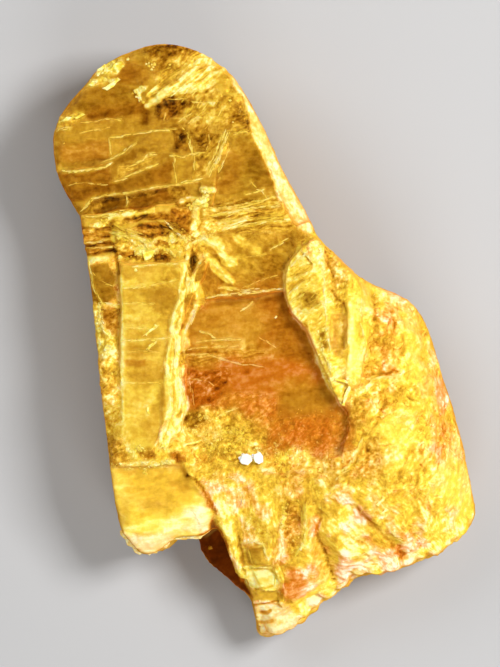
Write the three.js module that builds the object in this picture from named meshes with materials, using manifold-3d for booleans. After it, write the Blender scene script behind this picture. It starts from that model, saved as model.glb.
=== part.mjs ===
// Raw orpiment: one hand specimen of the yellow arsenic sulphide, lying on its flat cleaved underside.
// A glassy stack of cleavage sheets (round lobe, neck and column) runs down the left side. The fibrous
// mass with its radiating, knobbly hem makes up the right side and the foot.
// It grew as one piece, so it is one closed solid. Millimetres, +Z up, origin at the centre of the base.
import * as THREE from "three";
import { mergeVertices } from "three/addons/utils/BufferGeometryUtils.js";
import Module from "manifold-3d";

// ---- Driving dimensions --------------------------------------------------------------------------------

const LENGTH = 49.8; // overall, along Y
const WIDTH = 35.4; // overall, along X
const OUTLINE_STEP = 1.0; // spacing of the points along the outline
const TOP_CELL = 0.9; // grid of the upper face
const UNDERSIDE_CELL = 2.4; // coarser grid of the underside
const REACH = 60; // a length safely longer than the specimen, for cutting tools
const MERGE = 1e-4; // corners closer than this become one
const RAGGED = { roughness: 0.14, step: 1.5 }; // how unevenly a sheet breaks, and how often

// The outline, as stretches that meet at corners, each a smooth curve through its points.
const OUTLINE = {
  lobeRim: [[-2.7, 22.1], [-4.8, 23.7], [-6.6, 24.5], [-8.5, 24.85], [-10.6, 24.4], [-13.5, 23.1],
    [-15.0, 21.5], [-16.9, 19.3], [-17.7, 17.4], [-17.75, 16.0], [-17.4, 13.9], [-16.6, 12.2], [-15.5, 10.5]],
  leftEdge: [[-15.5, 10.5], [-15.2, 8.4], [-14.8, 6.3], [-14.5, 3.9], [-14.1, -0.3], [-13.4, -7.0],
    [-12.9, -11.3], [-12.4, -14.7], [-11.9, -16.3]],
  blockEnd: [[-11.9, -16.3], [-11.1, -17.2], [-10.6, -17.8], [-9.5, -17.9], [-8.2, -17.1], [-7.6, -16.4],
    [-5.2, -16.3], [-4.5, -15.7], [-4.2, -14.7]],
  notch: [[-4.2, -14.7], [-2.8, -17.3], [-1.8, -19.3], [-1.3, -21.3], [-0.8, -23.3], [-0.5, -24.75]],
  hem: [[-0.5, -24.75], [1.0, -24.7], [2.7, -23.9], [4.0, -22.8], [5.8, -21.3], [7.3, -20.0], [9.4, -19.5],
    [11.7, -19.0], [14.5, -17.8], [16.6, -16.3]],
  rightFlank: [[16.6, -16.3], [17.6, -14.7], [17.2, -11.7], [16.4, -8.5], [15.4, -4.9], [14.5, -2.1],
    [13.9, 0.1], [12.9, 2.3], [11.5, 3.6], [9.1, 4.6]],
  shoulder: [[9.1, 4.6], [7.3, 5.7], [5.8, 7.2], [4.2, 8.7], [3.9, 9.6]],
  lobeSide: [[3.9, 9.6], [2.8, 11.7], [1.4, 14.2], [0.1, 17.1], [-1.2, 19.7], [-2.7, 22.1]],
};

// The walls step in towards the base, where whole sheets have broken away.
const WALL_LAYERS = [
  { low: 0, high: 1.9, scale: 0.955, shift: [0.3, -0.9] },
  { low: 1.9, high: 3.9, scale: 0.98, shift: [-0.1, -0.4] },
  { low: 3.9, high: REACH, scale: 1, shift: [0, 0] },
];

// The upper face, before its ledges: the plate on the left, the mass on the right, the fan at the foot.
const PLATE = { height: 10.4, neckY: 9, tiltUp: 0.06, leftX: -11, tiltLeft: 0.06 };
const MASS = { height: 11.3, startX: 3, fullX: 7.5, crownX: 8, curve: 0.03 };
const FAN = { startY: -9, fall: 0.33 };
const RIM = { sharp: { width: 0.9, drop: 0.8 }, soft: { width: 3.4, drop: 2.6 }, fromX: 2, toX: 11 };
const LUMPS = { height: 0.28, large: 2.1, small: 1.0 }; // on the mass and the fan, in two sizes

// The underside rises towards the rim all round and is cut flat where the specimen rests.
const UNDERSIDE = { rimWidth: 3.6, rimRise: 2.2, sunk: 0.35, wave: 1.0, waveSize: 6.5 };

// Ledges: inside each outline the stone is cleaved away above a plane, given by its height at the middle
// of the outline and its slope along X and Y.
const LEDGES = {
  lobeCrown: { outline: [[-18, 17.0], [-12.9, 16.9], [-8.3, 17.5], [-7.0, 19.0], [-9.7, 20.0], [-11.0, 22.4],
    [-14.5, 26], [-19, 24]], height: 9.35, leanX: 0.05, leanY: -0.05 },
  lobeUpperBand: { outline: [[-19, 13.8], [-17.2, 14.0], [-13.3, 14.6], [-10.8, 16.3], [-8.3, 17.5],
    [-12.9, 16.9], [-19, 16.6]], height: 9.5, leanX: 0.03, leanY: 0.12 },
  lobeFlake: { outline: [[-13.1, 14.5], [-12.8, 13.2], [-9.2, 15.5], [-10.8, 16.2]], height: 9.85,
    leanY: -0.1 },
  lobeLowerBand: { outline: [[-17, 10.1], [-15.3, 10.3], [-9.3, 11.2], [-5.4, 11.7], [-5.4, 13.2],
    [-9.0, 12.8], [-15.1, 11.9], [-17.5, 11.6]], height: 9.75, leanY: 0.16 },
  amberFacet: { outline: [[-3.2, 17.0], [-1.2, 17.4], [1.5, 11.0], [-4.6, 10.7], [-4.2, 12.8]],
    height: 9.75, leanX: -0.04 },
  neckStrip: { outline: [[-17, 6.8], [-12.6, 7.0], [-12.4, 9.5], [-16.5, 9.2]], height: 9.75, leanX: 0.08 },
  upperFloor: { outline: [[-5.8, 8.6], [2.6, 9.8], [2.2, 7.4], [1.7, 5.9], [1.7, 3.5], [-5.8, 3.0]],
    height: 10.05, leanY: 0.03 },
  margin: { outline: [[-18, 6.4], [-12.3, 6.9], [-12.2, 2.0], [-11.9, -10.4], [-18, -10.4]], height: 9.95,
    leanX: 0.1 },
  hollow: { outline: [[-6.3, 3.3], [-2.4, 3.6], [2.0, 4.2], [2.4, 2.9], [3.2, 1.2], [4.2, -0.4], [4.7, -2.2],
    [5.6, -3.8], [6.6, -5.2], [7.0, -7.4], [6.2, -9.6], [2.0, -10.4], [-3.0, -10.2], [-7.0, -9.4],
    [-7.2, -6.0], [-7.6, -2.5], [-7.2, 1.0]], height: 9.75, leanX: 0.02, leanY: -0.06 },
  block: { outline: [[-18, -10.3], [-12.3, -10.5], [-7.2, -10.2], [-6.2, -11.9], [-4.4, -14.3], [-4.1, -19.5],
    [-18, -19.5]], height: 8.6, leanY: 0.2 },
  blockLip: { outline: [[-18, -15.0], [-12, -15.6], [-8, -15.3], [-4, -14.6], [-4, -20], [-18, -20]],
    height: 7.95, leanY: 0.24 },
  tanHollow: { outline: [[9.2, 2.1], [10.0, 1.4], [10.9, 0.1], [11.3, -1.4], [10.8, -2.7], [9.4, -2.9],
    [7.7, -3.1], [8.3, -0.8], [8.6, 0.6]], height: 10.95, leanX: 0.05, leanY: 0.12 },
  paleFace: { outline: [[6.5, -13.2], [11.4, -17.4], [10.9, -19.8], [7.2, -20.3], [6.0, -17]], height: 8.3,
    leanX: 0.06, leanY: 0.32 },
};

// A flight of cleavage steps leads down to the tip of the specimen.
const STAIR = {
  edges: [-18.9, -20.8, -22.1, -23.5, -26.5], // along Y
  left: [-1.9, -1.4, -1.1, -0.9, -0.6], // the flight's edges at each step, along X
  right: [0.6, 1.4, 1.1, 2.0, 2.4],
  head: 7.1, // level of the face at the head
  slope: 0.14, // within a step
  riser: 0.34,
};

// Sheets that still stand above the plate, and the dark clear one that shows below the notch.
const SHEETS = {
  column: { outline: [[-12.1, 6.3], [-6.6, 6.5], [-6.4, 4.6], [-6.9, 1.6], [-7.5, -1.2], [-6.6, -1.9],
    [-6.7, -5.0], [-7.0, -6.8], [-8.3, -9.4], [-9.7, -10.1], [-11.2, -9.9], [-12.0, -8.9]],
    height: 10.6, foot: 7, leanX: -0.02, leanY: 0.045 },
  tornEdge: { outline: [[-5.0, 6.9], [-4.7, 6.5], [-5.7, 4.2], [-6.6, 2.3], [-7.0, 0.6], [-7.5, -2.0],
    [-7.8, -6.0], [-8.5, -8.9], [-8.9, -8.6], [-8.5, -5.5], [-8.4, -1.3], [-7.7, 2.2], [-6.6, 4.8]],
    height: 10.8, foot: 7, leanX: -0.05, leanY: 0.04 },
  crest: { outline: [[-9.3, 20.6], [-8.2, 21.4], [-6.3, 22.6], [-4.4, 22.9], [-2.8, 21.9], [-3.6, 20.9],
    [-7.6, 19.9], [-8.9, 19.8]], height: 9.9, foot: 7, leanX: -0.04 },
  clear: { outline: [[-4.2, -13.6], [-5.8, -16.6], [-5.6, -17.7], [-4.7, -18.8], [-3.7, -19.7],
    [-2.5, -20.6], [-1.3, -21.5], [1.0, -20.6], [1.2, -14.0]], height: 4.3, foot: 2.4, leanX: 0.12,
    leanY: 0.15 },
};

// The smooth chamfer on the right side of the lobe, given by its upper edge and its slope.
const CHAMFER = { from: [-3.1, 22.4], to: [1.9, 9.9], height: 9.75, slopeDeg: 58 };

// Crystals with a crest: the leaf-shaped shard and the ridge beside it.
const CRESTED = {
  shard: {
    outline: [[4.1, 8.9], [2.8, 7.6], [1.9, 6.6], [1.5, 5.4], [1.6, 3.8], [2.2, 2.3], [3.2, 1.1], [4.2, -0.8],
      [4.8, -2.6], [5.6, -4.0], [6.45, -5.5], [6.6, -3.6], [6.3, -0.6], [6.0, 2.2], [5.6, 5.0], [4.9, 7.4]],
    crestFrom: [3.6, 9.0], crestTo: [6.0, -5.4], crest: 11.6, flankDeg: 20,
  },
  ridge: {
    outline: [[5.7, 6.9], [5.9, 2.5], [6.0, -1.0], [6.8, -3.9], [7.9, -3.6], [8.2, 0.8], [8.1, 3.4],
      [7.4, 5.6]],
    crestFrom: [6.8, 7.0], crestTo: [7.2, -4.2], crest: 11.9, flankDeg: 24,
  },
};
const CRYSTAL_FOOT = 7; // level at which the crystals and sheets are rooted in the stone

// Ribs that radiate down the fan, each a tapering half-round.
const RIBS = [
  { from: [-4.2, -13.4], to: [-1.8, -19.8], head: 0.55, foot: 0.6 },
  { from: [3.4, -12.4], to: [3.1, -18.4], head: 0.45, foot: 0.7 },
  { from: [4.9, -13.4], to: [6.4, -20.4], head: 0.5, foot: 0.95 },
  { from: [9.4, -12.6], to: [12.1, -17.4], head: 0.7, foot: 0.8 },
  { from: [13.0, -11.6], to: [15.4, -16.0], head: 0.7, foot: 0.9 },
];
const RIB_RISE = 0.2; // how far a rib's axis stands above the face

// V-shaped grooves and cracks, each along a path.
const GROOVES = [
  { path: [[-2.0, -16.9], [-1.0, -20.6]], width: 0.5, depth: 0.3 },
  { path: [[4.6, -14.2], [4.1, -16.1], [5.8, -20.4]], width: 0.9, depth: 0.35 },
  { path: [[6.4, -12.9], [8.8, -15.2], [11.5, -17.7]], width: 0.5, depth: 0.2 },
  { path: [[12.2, -13.2], [12.9, -17.0]], width: 0.8, depth: 0.25 },
  { path: [[9.1, 4.4], [8.8, 2.2], [9.4, 1.0]], width: 0.5, depth: 0.3 },
  { path: [[10.1, -3.6], [9.2, -6.5]], width: 0.6, depth: 0.35 },
  { path: [[6.1, 3.2], [6.0, -0.6]], width: 0.4, depth: 0.2 },
];

// Round and oval hollows, as ellipsoids cut into the face.
const PITS = [
  { at: [2.2, -15.4], radii: [0.9, 2.2, 0.4], turnDeg: -4 },
  { at: [12.4, -4.4], radii: [0.8, 0.8, 0.35], turnDeg: 0 },
];

// Knobs along the hem, where bundles of fibres end: long ones down the wall, round ones on its brow.
const KNOBS = {
  spacing: 1.45,
  rows: [
    { inset: 0.6, level: 0.6, radius: 0.95, tall: 1.5 },
    { inset: 0.95, level: 0.9, radius: 1.05, tall: 0.75 },
  ],
};

// ---- Small tools ---------------------------------------------------------------------------------------

const wasm = await Module();
wasm.setup();
const { clamp, degToRad, lerp, smoothstep } = THREE.MathUtils;

/** A closed three.js geometry as a manifold-3d solid. */
function solidOf(geometry) {
  const bare = geometry.clone();
  bare.deleteAttribute("normal");
  bare.deleteAttribute("uv");
  const merged = mergeVertices(bare, MERGE);
  const mesh = new wasm.Mesh({
    numProp: 3,
    vertProperties: merged.attributes.position.array,
    triVerts: new Uint32Array(merged.index.array),
  });
  return new wasm.Manifold(mesh);
}

/** A manifold-3d solid as a three.js geometry with one normal to each facet. */
function geometryOf(solid) {
  const mesh = solid.getMesh();
  const geometry = new THREE.BufferGeometry();
  geometry.setAttribute("position", new THREE.BufferAttribute(mesh.vertProperties, 3));
  geometry.setIndex(new THREE.BufferAttribute(mesh.triVerts, 1));
  const facets = geometry.toNonIndexed();
  facets.computeVertexNormals();
  return facets;
}

/** A value from 0 to 1 for each whole grid point, the same on every run. */
function hash(ix, iy) {
  const wave = Math.sin(ix * 127.1 + iy * 311.7) * 43758.5453;
  return wave - Math.floor(wave);
}

/** Smooth lumps from -1 to 1 with the given size. */
function lumps(x, y, size) {
  const [ix, iy] = [Math.floor(x / size), Math.floor(y / size)];
  const fx = smoothstep(x / size - ix, 0, 1);
  const fy = smoothstep(y / size - iy, 0, 1);
  const low = lerp(hash(ix, iy), hash(ix + 1, iy), fx);
  const high = lerp(hash(ix, iy + 1), hash(ix + 1, iy + 1), fx);
  return 2 * lerp(low, high, fy) - 1;
}

/** Distance from a point to a line segment. */
function distanceToSegment(x, y, [ax, ay], [bx, by]) {
  const [dx, dy] = [bx - ax, by - ay];
  const along = clamp(((x - ax) * dx + (y - ay) * dy) / (dx * dx + dy * dy), 0, 1);
  return Math.hypot(x - ax - along * dx, y - ay - along * dy);
}

/** A smooth curve through the points of an outline. */
function curveThrough(points) {
  return new THREE.SplineCurve(points.map(([x, y]) => new THREE.Vector2(x, y)));
}

/** Evenly spaced points on the curve through the given points, without its last point. */
function sampled(points) {
  const curve = curveThrough(points);
  const count = Math.max(2, Math.round(curve.getLength() / OUTLINE_STEP));
  return curve.getSpacedPoints(count).slice(0, -1).map((p) => [p.x, p.y]);
}

const rim = Object.values(OUTLINE).flatMap(sampled);

/** How far a point lies from the specimen's rim. */
function distanceToRim(x, y) {
  return Math.min(...rim.map((point, i) => distanceToSegment(x, y, point, rim[(i + 1) % rim.length])));
}

/** An outline whose long sides are broken by small steps, as a torn sheet's are. */
function ragged(points) {
  return points.flatMap(([ax, ay], i) => {
    const [bx, by] = points[(i + 1) % points.length];
    const length = Math.hypot(bx - ax, by - ay);
    const count = Math.max(1, Math.round(length / RAGGED.step));
    return Array.from({ length: count }, (_, k) => {
      const along = k / count;
      const [x, y] = [lerp(ax, bx, along), lerp(ay, by, along)];
      const move = (RAGGED.roughness * (2 * hash(Math.round(x * 10), Math.round(y * 10)) - 1)) / length;
      return [x - (by - ay) * move, y + (bx - ax) * move];
    });
  });
}

/** A straight bar whose section is the given outline, along +Z. */
function extruded(points, depth) {
  const shape = new THREE.Shape(points.map(([x, y]) => new THREE.Vector2(x, y)));
  return new THREE.ExtrudeGeometry(shape, { depth, bevelEnabled: false });
}

/** An upright prism over an outline. */
function prism(points, low, high) {
  return solidOf(extruded(points, high - low).translate(0, 0, low));
}

/** All space over a ledge: above its plane, inside its outline. */
function spaceOver({ outline, height, leanX = 0, leanY = 0 }) {
  const box = new THREE.Box2().setFromPoints(outline.map(([x, y]) => new THREE.Vector2(x, y)));
  const middle = box.getCenter(new THREE.Vector2());
  const above = new THREE.BoxGeometry(REACH, REACH, REACH).translate(0, 0, REACH / 2);
  above.rotateX(Math.atan(leanY)).rotateY(-Math.atan(leanX)).translate(middle.x, middle.y, height);
  return prism(ragged(outline), 0, REACH).intersect(solidOf(above));
}

/** Moves a geometry made along +Z, with +Y as its upper side, onto the line between two points. */
function alongLine(geometry, start, end) {
  const ahead = end.clone().sub(start).normalize();
  const side = new THREE.Vector3(0, 0, 1).cross(ahead).normalize();
  const up = ahead.clone().cross(side);
  const basis = new THREE.Matrix4().makeBasis(side, up, ahead).setPosition(start);
  return geometry.applyMatrix4(basis);
}

/** A block whose upper and lower faces are grids at the given heights. */
function gridded(cell, upper, lower) {
  const [width, length] = [WIDTH + 2 * cell, LENGTH + 2 * cell];
  const box = new THREE.BoxGeometry(width, length, 1, Math.round(width / cell), Math.round(length / cell), 1);
  const place = box.attributes.position;
  for (let i = 0; i < place.count; i++) {
    const [x, y] = [place.getX(i), place.getY(i)];
    place.setZ(i, place.getZ(i) > 0 ? upper(x, y) : lower(x, y));
  }
  return solidOf(box);
}

// ---- The body ------------------------------------------------------------------------------------------

/** Height of the upper face before its ledges are cut. */
function topHeight(x, y) {
  const plate = PLATE.height - PLATE.tiltUp * Math.max(0, y - PLATE.neckY)
    - PLATE.tiltLeft * Math.max(0, PLATE.leftX - x);
  const mass = MASS.height - MASS.curve * Math.max(0, x - MASS.crownX) ** 2;
  const massShare = smoothstep(x, MASS.startX, MASS.fullX);
  const plateShare = smoothstep(y, FAN.startY - 3, FAN.startY) * (1 - massShare);
  const softness = smoothstep(x - 0.25 * y, RIM.fromX, RIM.toX);
  const rimWidth = lerp(RIM.sharp.width, RIM.soft.width, softness);
  const rimDrop = lerp(RIM.sharp.drop, RIM.soft.drop, softness);
  const nearRim = clamp(1 - distanceToRim(x, y) / rimWidth, 0, 1);
  return lerp(plate, mass, massShare)
    - FAN.fall * Math.max(0, FAN.startY - y)
    - rimDrop * nearRim ** 2
    + LUMPS.height * (1 - plateShare) * (lumps(x, y, LUMPS.large) + 0.6 * lumps(x + 7, y, LUMPS.small));
}

/** Height of the underside before the base is cut flat. */
function underHeight(x, y) {
  const nearRim = clamp(1 - distanceToRim(x, y) / UNDERSIDE.rimWidth, 0, 1);
  return UNDERSIDE.rimRise * nearRim ** 1.5 - UNDERSIDE.sunk
    + UNDERSIDE.wave * lumps(x, y, UNDERSIDE.waveSize);
}

/** A point on the upper face, raised by a little. */
function onFace([x, y], rise = 0) {
  return new THREE.Vector3(x, y, topHeight(x, y) + rise);
}

/** All space above the base, which is flat where the specimen rests. */
function overBase() {
  return solidOf(new THREE.BoxGeometry(REACH, REACH, REACH).translate(0, 0, REACH / 2));
}

/** The stack of sheets between its upper face and its underside. */
function body() {
  const upper = gridded(TOP_CELL, topHeight, () => -REACH);
  const lower = gridded(UNDERSIDE_CELL, () => REACH, underHeight);
  const layers = WALL_LAYERS.map(({ low, high, scale, shift }) =>
    prism(rim.map(([x, y]) => [x * scale + shift[0], y * scale + shift[1]]), low, high));
  const walls = layers.reduce((solid, layer) => solid.add(layer));
  return upper.intersect(lower).intersect(walls);
}

/** The spaces over the flight of steps, one to each step. */
function stairSpaces() {
  const { edges, left, right, head, slope, riser } = STAIR;
  return edges.slice(0, -1).map((top, i) => {
    const bottom = edges[i + 1];
    const level = head - FAN.fall * (edges[0] - top) - riser;
    return spaceOver({
      outline: [[left[i], top], [left[i + 1], bottom], [right[i + 1], bottom], [right[i], top]],
      height: level - slope * (top - bottom) / 2,
      leanY: slope,
    });
  });
}

/** The wedge of space beside the chamfer. */
function chamferSpace({ from, to, height, slopeDeg }) {
  const length = Math.hypot(to[0] - from[0], to[1] - from[1]) + 1;
  const box = new THREE.BoxGeometry(length, REACH, REACH).translate(0, REACH / 2, REACH / 2);
  box.rotateX(degToRad(slopeDeg - 90)).rotateZ(Math.atan2(to[1] - from[1], to[0] - from[0]));
  return solidOf(box.translate((from[0] + to[0]) / 2, (from[1] + to[1]) / 2, height));
}

/** A standing sheet: its outline as a prism under its plane. */
function sheet({ foot, ...plane }) {
  return prism(ragged(plane.outline), foot, plane.height + 1).subtract(spaceOver(plane));
}

/** A crystal with a crest: its outline as a prism under a roof of two flanks. */
function crested({ outline, crestFrom, crestTo, crest, flankDeg }) {
  const drop = REACH * Math.tan(degToRad(flankDeg));
  const [start, end] = [crestFrom, crestTo].map(([x, y]) => new THREE.Vector3(x, y, crest));
  const roof = extruded([[0, 0], [-REACH, -drop], [REACH, -drop]], start.distanceTo(end));
  return prism(ragged(outline), CRYSTAL_FOOT, crest + 1).intersect(solidOf(alongLine(roof, start, end)));
}

/** One rib of the fan, a tapering rod half sunk in the face. */
function rib({ from, to, head, foot }) {
  const [start, end] = [onFace(from, RIB_RISE - head), onFace(to, RIB_RISE - foot)];
  const length = start.distanceTo(end);
  const rod = new THREE.CylinderGeometry(foot, head, length, 10, 1).rotateX(Math.PI / 2);
  return solidOf(alongLine(rod.translate(0, 0, length / 2), start, end));
}

/** The wedges of space along a groove's path. */
function grooveSpaces({ path, width, depth }) {
  const spread = width * 0.5 * (1 + 1 / depth);
  const section = [[0, -depth], [spread, 1], [-spread, 1]];
  return path.slice(1).map((to, i) => {
    const [start, end] = [onFace(path[i]), onFace(to)];
    return solidOf(alongLine(extruded(section, start.distanceTo(end)), start, end));
  });
}

/** The space in a round or oval hollow. */
function pitSpace({ at, radii, turnDeg }) {
  const ball = new THREE.IcosahedronGeometry(1, 1).scale(...radii).rotateZ(degToRad(turnDeg));
  return solidOf(ball.translate(...onFace(at).toArray()));
}

/** The knobs of one row along the hem, set in from its edge. */
function knobRow({ inset, level, radius, tall }, row) {
  const hem = curveThrough(OUTLINE.hem);
  const count = Math.round(hem.getLength() / KNOBS.spacing);
  return Array.from({ length: count }, (_, i) => {
    const along = Math.min(1, (i + 0.45 + 0.5 * row + 0.35 * hash(i, row)) / count);
    const point = hem.getPointAt(along);
    const tangent = hem.getTangentAt(along);
    const [x, y] = [point.x - tangent.y * inset, point.y + tangent.x * inset];
    const size = radius * (0.85 + 0.3 * hash(i, row + 5));
    const ball = new THREE.IcosahedronGeometry(size, 1).rotateZ(6 * hash(i, 9)).scale(1, 1, tall);
    return solidOf(ball.translate(x, y, topHeight(x, y) * level));
  });
}

/** The whole specimen as one solid. */
function specimen() {
  const spaces = [
    ...Object.values(LEDGES).map(spaceOver),
    ...stairSpaces(),
    chamferSpace(CHAMFER),
  ];
  const additions = [
    ...Object.values(SHEETS).map(sheet),
    ...Object.values(CRESTED).map(crested),
    ...RIBS.map(rib),
    ...KNOBS.rows.flatMap(knobRow),
  ];
  const hollows = [...GROOVES.flatMap(grooveSpaces), ...PITS.map(pitSpace)];
  const cleaved = spaces.reduce((solid, space) => solid.subtract(space), body());
  const grown = additions.reduce((solid, addition) => solid.add(addition), cleaved);
  return hollows.reduce((solid, hollow) => solid.subtract(hollow), grown).intersect(overBase());
}

const orpiment = new THREE.Mesh(
  geometryOf(specimen()),
  new THREE.MeshStandardMaterial({ color: 0xe0a52e, roughness: 0.35, metalness: 0, flatShading: true }),
);
orpiment.name = "orpiment";

const part = new THREE.Group();
part.add(orpiment);
export default part;
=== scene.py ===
"""Raw orpiment, a hand specimen of the golden arsenic sulphide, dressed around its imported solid.

The specimen is one natural piece. Its solid gives the form. Here the stone gets its fine relief (cleavage
steps, fibres, grains and knobs), its zoned colour, and the splinters, flakes and crumbs that lie on it.
Lengths are written in millimetres, and turned to metres where a mesh is stored.
"""

import logging
import math
import random
from dataclasses import dataclass, field
from enum import Enum

import bmesh
import bpy
import numpy as np
from mathutils import Matrix, Vector
from mathutils.bvhtree import BVHTree


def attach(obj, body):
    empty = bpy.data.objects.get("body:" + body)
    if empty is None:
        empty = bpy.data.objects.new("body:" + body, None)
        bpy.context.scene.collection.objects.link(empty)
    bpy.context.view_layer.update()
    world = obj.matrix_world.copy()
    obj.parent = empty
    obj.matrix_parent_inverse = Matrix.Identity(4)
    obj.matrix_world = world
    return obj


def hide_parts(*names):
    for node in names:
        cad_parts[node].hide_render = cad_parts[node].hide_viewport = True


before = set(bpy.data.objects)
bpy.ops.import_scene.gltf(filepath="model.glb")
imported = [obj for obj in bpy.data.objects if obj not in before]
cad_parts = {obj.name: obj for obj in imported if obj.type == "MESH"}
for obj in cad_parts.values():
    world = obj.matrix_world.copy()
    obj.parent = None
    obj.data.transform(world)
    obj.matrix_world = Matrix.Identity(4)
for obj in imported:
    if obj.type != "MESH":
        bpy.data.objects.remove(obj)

log = logging.getLogger("orpiment")

MM = 0.001
BODY = "root"
NODE = "orpiment"

Point = tuple[float, float]
Triple = tuple[float, float, float]
Path = tuple[Point, ...]


def xy(*numbers: float) -> Path:
    """Pairs up numbers, each X with its Y, into the points of a path or an outline, in millimetres."""
    return tuple(zip(numbers[::2], numbers[1::2]))


def placed(name: str, data: bpy.types.ID) -> bpy.types.Object:
    """Puts a mesh, a lamp or a camera into the scene.

    Args:
        name: The name of its object.
        data: The mesh, lamp or camera.

    Returns:
        Its object.
    """
    item = bpy.data.objects.new(name, data)
    bpy.context.scene.collection.objects.link(item)
    return item


# ---- Colour ----


class Tone(Enum):
    """The tones of orpiment: how pale it is, from 0, deep and clear, to 1, powdery, and how orange it is."""

    # The white of two knobs where they glint: painted highlight on pale mineral.
    GLINT_WHITE = (1.0, 0.0)
    WHITE = (0.97, 0.0)
    IVORY = (0.95, 0.6)
    CHALK = (0.94, 0.45)
    CREAM = (0.92, 0.0)
    LEMON = (0.85, 0.0)
    PALE_GOLD = (0.78, 0.03)
    GOLD = (0.68, 0.07)
    DEEP_GOLD = (0.62, 0.08)
    HONEY = (0.54, 0.1)
    OLIVE = (0.41, 0.08)
    DARK_OLIVE = (0.28, 0.12)
    BROWN = (0.32, 0.3)
    SIENNA = (0.4, 0.32)
    AMBER = (0.5, 0.35)
    CARAMEL = (0.59, 0.37)
    RUSSET = (0.48, 0.62)
    COPPER = (0.56, 0.75)
    BURNT_ORANGE = (0.58, 1.0)
    TERRACOTTA = (0.5, 1.15)
    TAN = (0.715, 0.35)
    ORANGE = (0.75, 0.5)
    PEACH = (0.82, 0.6)
    ROSE = (0.78, 1.15)
    CHESTNUT = (0.14, 1.0)


# The colour of each level of tone: gold at a warmth of 0, and orange at a warmth of 1.
GOLD_RAMP = ((0.0, "#3A1902"), (0.15, "#6B3E06"), (0.3, "#94610F"), (0.45, "#B5831E"), (0.58, "#CE9E2B"),
             (0.7, "#E4B737"), (0.82, "#F4D24C"), (0.92, "#FBE577"), (0.98, "#FFF6A0"), (1.0, "#F6F1E2"))
ORANGE_RAMP = ((0.0, "#3C1402"), (0.15, "#702D05"), (0.3, "#984A08"), (0.45, "#B65E0D"), (0.58, "#CB721A"),
               (0.7, "#DF9347"), (0.82, "#F1B57A"), (0.92, "#F9D8AC"), (1.0, "#FFF3D6"))


def linear(hex_colour: str) -> tuple[float, ...]:
    """Turns an sRGB hex colour to linear.

    Args:
        hex_colour: The colour as "#RRGGBB".

    Returns:
        The linear red, green and blue, from 0 to 1.
    """
    parts = (int(hex_colour[i : i + 2], 16) / 255 for i in (1, 3, 5))
    return tuple(c / 12.92 if c <= 0.04045 else ((c + 0.055) / 1.055) ** 2.4 for c in parts)


# ---- Number fields over the stone ----


def lattice(cells: np.ndarray, seed: int) -> np.ndarray:
    """Gives each whole grid point a fixed value.

    Args:
        cells: Whole coordinates, an N by 3 array.
        seed: Chooses one of many such fields.

    Returns:
        N values from -1 to 1.
    """
    mixed = cells[:, 0] * 73856093 ^ cells[:, 1] * 19349663 ^ cells[:, 2] * 83492791 ^ seed * 2654435761
    mixed = (mixed ^ (mixed >> 13)) * 1274126177 & 0xFFFFFFFF
    mixed = (mixed ^ (mixed >> 15)) * 2246822519 & 0xFFFFFFFF
    return (mixed ^ (mixed >> 16)) / 0x7FFFFFFF - 1


def noise(points: np.ndarray, size: float | Triple, seed: int, octaves: int = 1) -> np.ndarray:
    """Smooth noise over points in space.

    Args:
        points: Positions in millimetres, an N by 3 array.
        size: The size of its lumps in millimetres, the same every way or one number for each axis.
        seed: Chooses one of many such fields.
        octaves: How many layers it has, each half as large and half as strong as the one before.

    Returns:
        N values, mostly from -1 to 1.
    """
    total, weight = np.zeros(len(points)), 0.0
    for octave in range(octaves):
        scaled = points / (np.asarray(size, float) / 2**octave)
        low = np.floor(scaled).astype(np.int64)
        part = scaled - low
        part = part * part * (3 - 2 * part)
        value = np.zeros(len(points))
        for corner in np.ndindex(2, 2, 2):
            share = np.prod(np.where(np.array(corner) == 1, part, 1 - part), axis=1)
            value += share * lattice(low + np.array(corner), seed + 101 * octave)
        total += value * 0.5**octave
        weight += 0.5**octave
    return 1.6 * total / weight


def facets(points: np.ndarray, size: float, seed: int) -> np.ndarray:
    """Heights of a surface broken into small flat faces, each tilted its own way.

    Args:
        points: Positions in millimetres, an N by 3 array.
        size: The width of a face in millimetres.
        seed: Chooses one of many such surfaces.

    Returns:
        N heights, mostly from -1 to 1.
    """
    scaled = points / size
    low = np.floor(scaled).astype(np.int64)
    nearest, height = np.full(len(points), np.inf), np.zeros(len(points))
    for corner in np.ndindex(3, 3, 3):
        cell = low + np.array(corner) - 1
        shift = np.stack([lattice(cell, seed + axis) for axis in range(3)], axis=1) * 0.4
        away = scaled - (cell + 0.5 + shift)
        distance = (away * away).sum(axis=1)
        tilt = np.stack([lattice(cell, seed + 5 + axis) for axis in range(3)], axis=1)
        closer = distance < nearest
        height = np.where(closer, (away * tilt).sum(axis=1) * 1.6, height)
        nearest = np.where(closer, distance, nearest)
    return height


def ramp(value: np.ndarray, low: float, high: float) -> np.ndarray:
    """Rises smoothly from 0 where the value is at low to 1 where it is at high."""
    share = np.clip((value - low) / (high - low), 0, 1)
    return share * share * (3 - 2 * share)


def line_distance(points: np.ndarray, path: Path) -> np.ndarray:
    """Measures from points in plan to a path.

    Args:
        points: Places in plan, an N by 2 array.
        path: The corners of the path.

    Returns:
        The distances in millimetres.
    """
    nearest = np.full(len(points), np.inf)
    for start, end in zip(path, path[1:]):
        begin, way = np.array(start), np.array(end) - np.array(start)
        length = float(np.linalg.norm(way))
        share = np.clip((points - begin) @ way / length**2, 0, 1)
        nearest = np.minimum(nearest, np.linalg.norm(points - begin - share[:, None] * way, axis=1))
    return nearest


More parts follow.
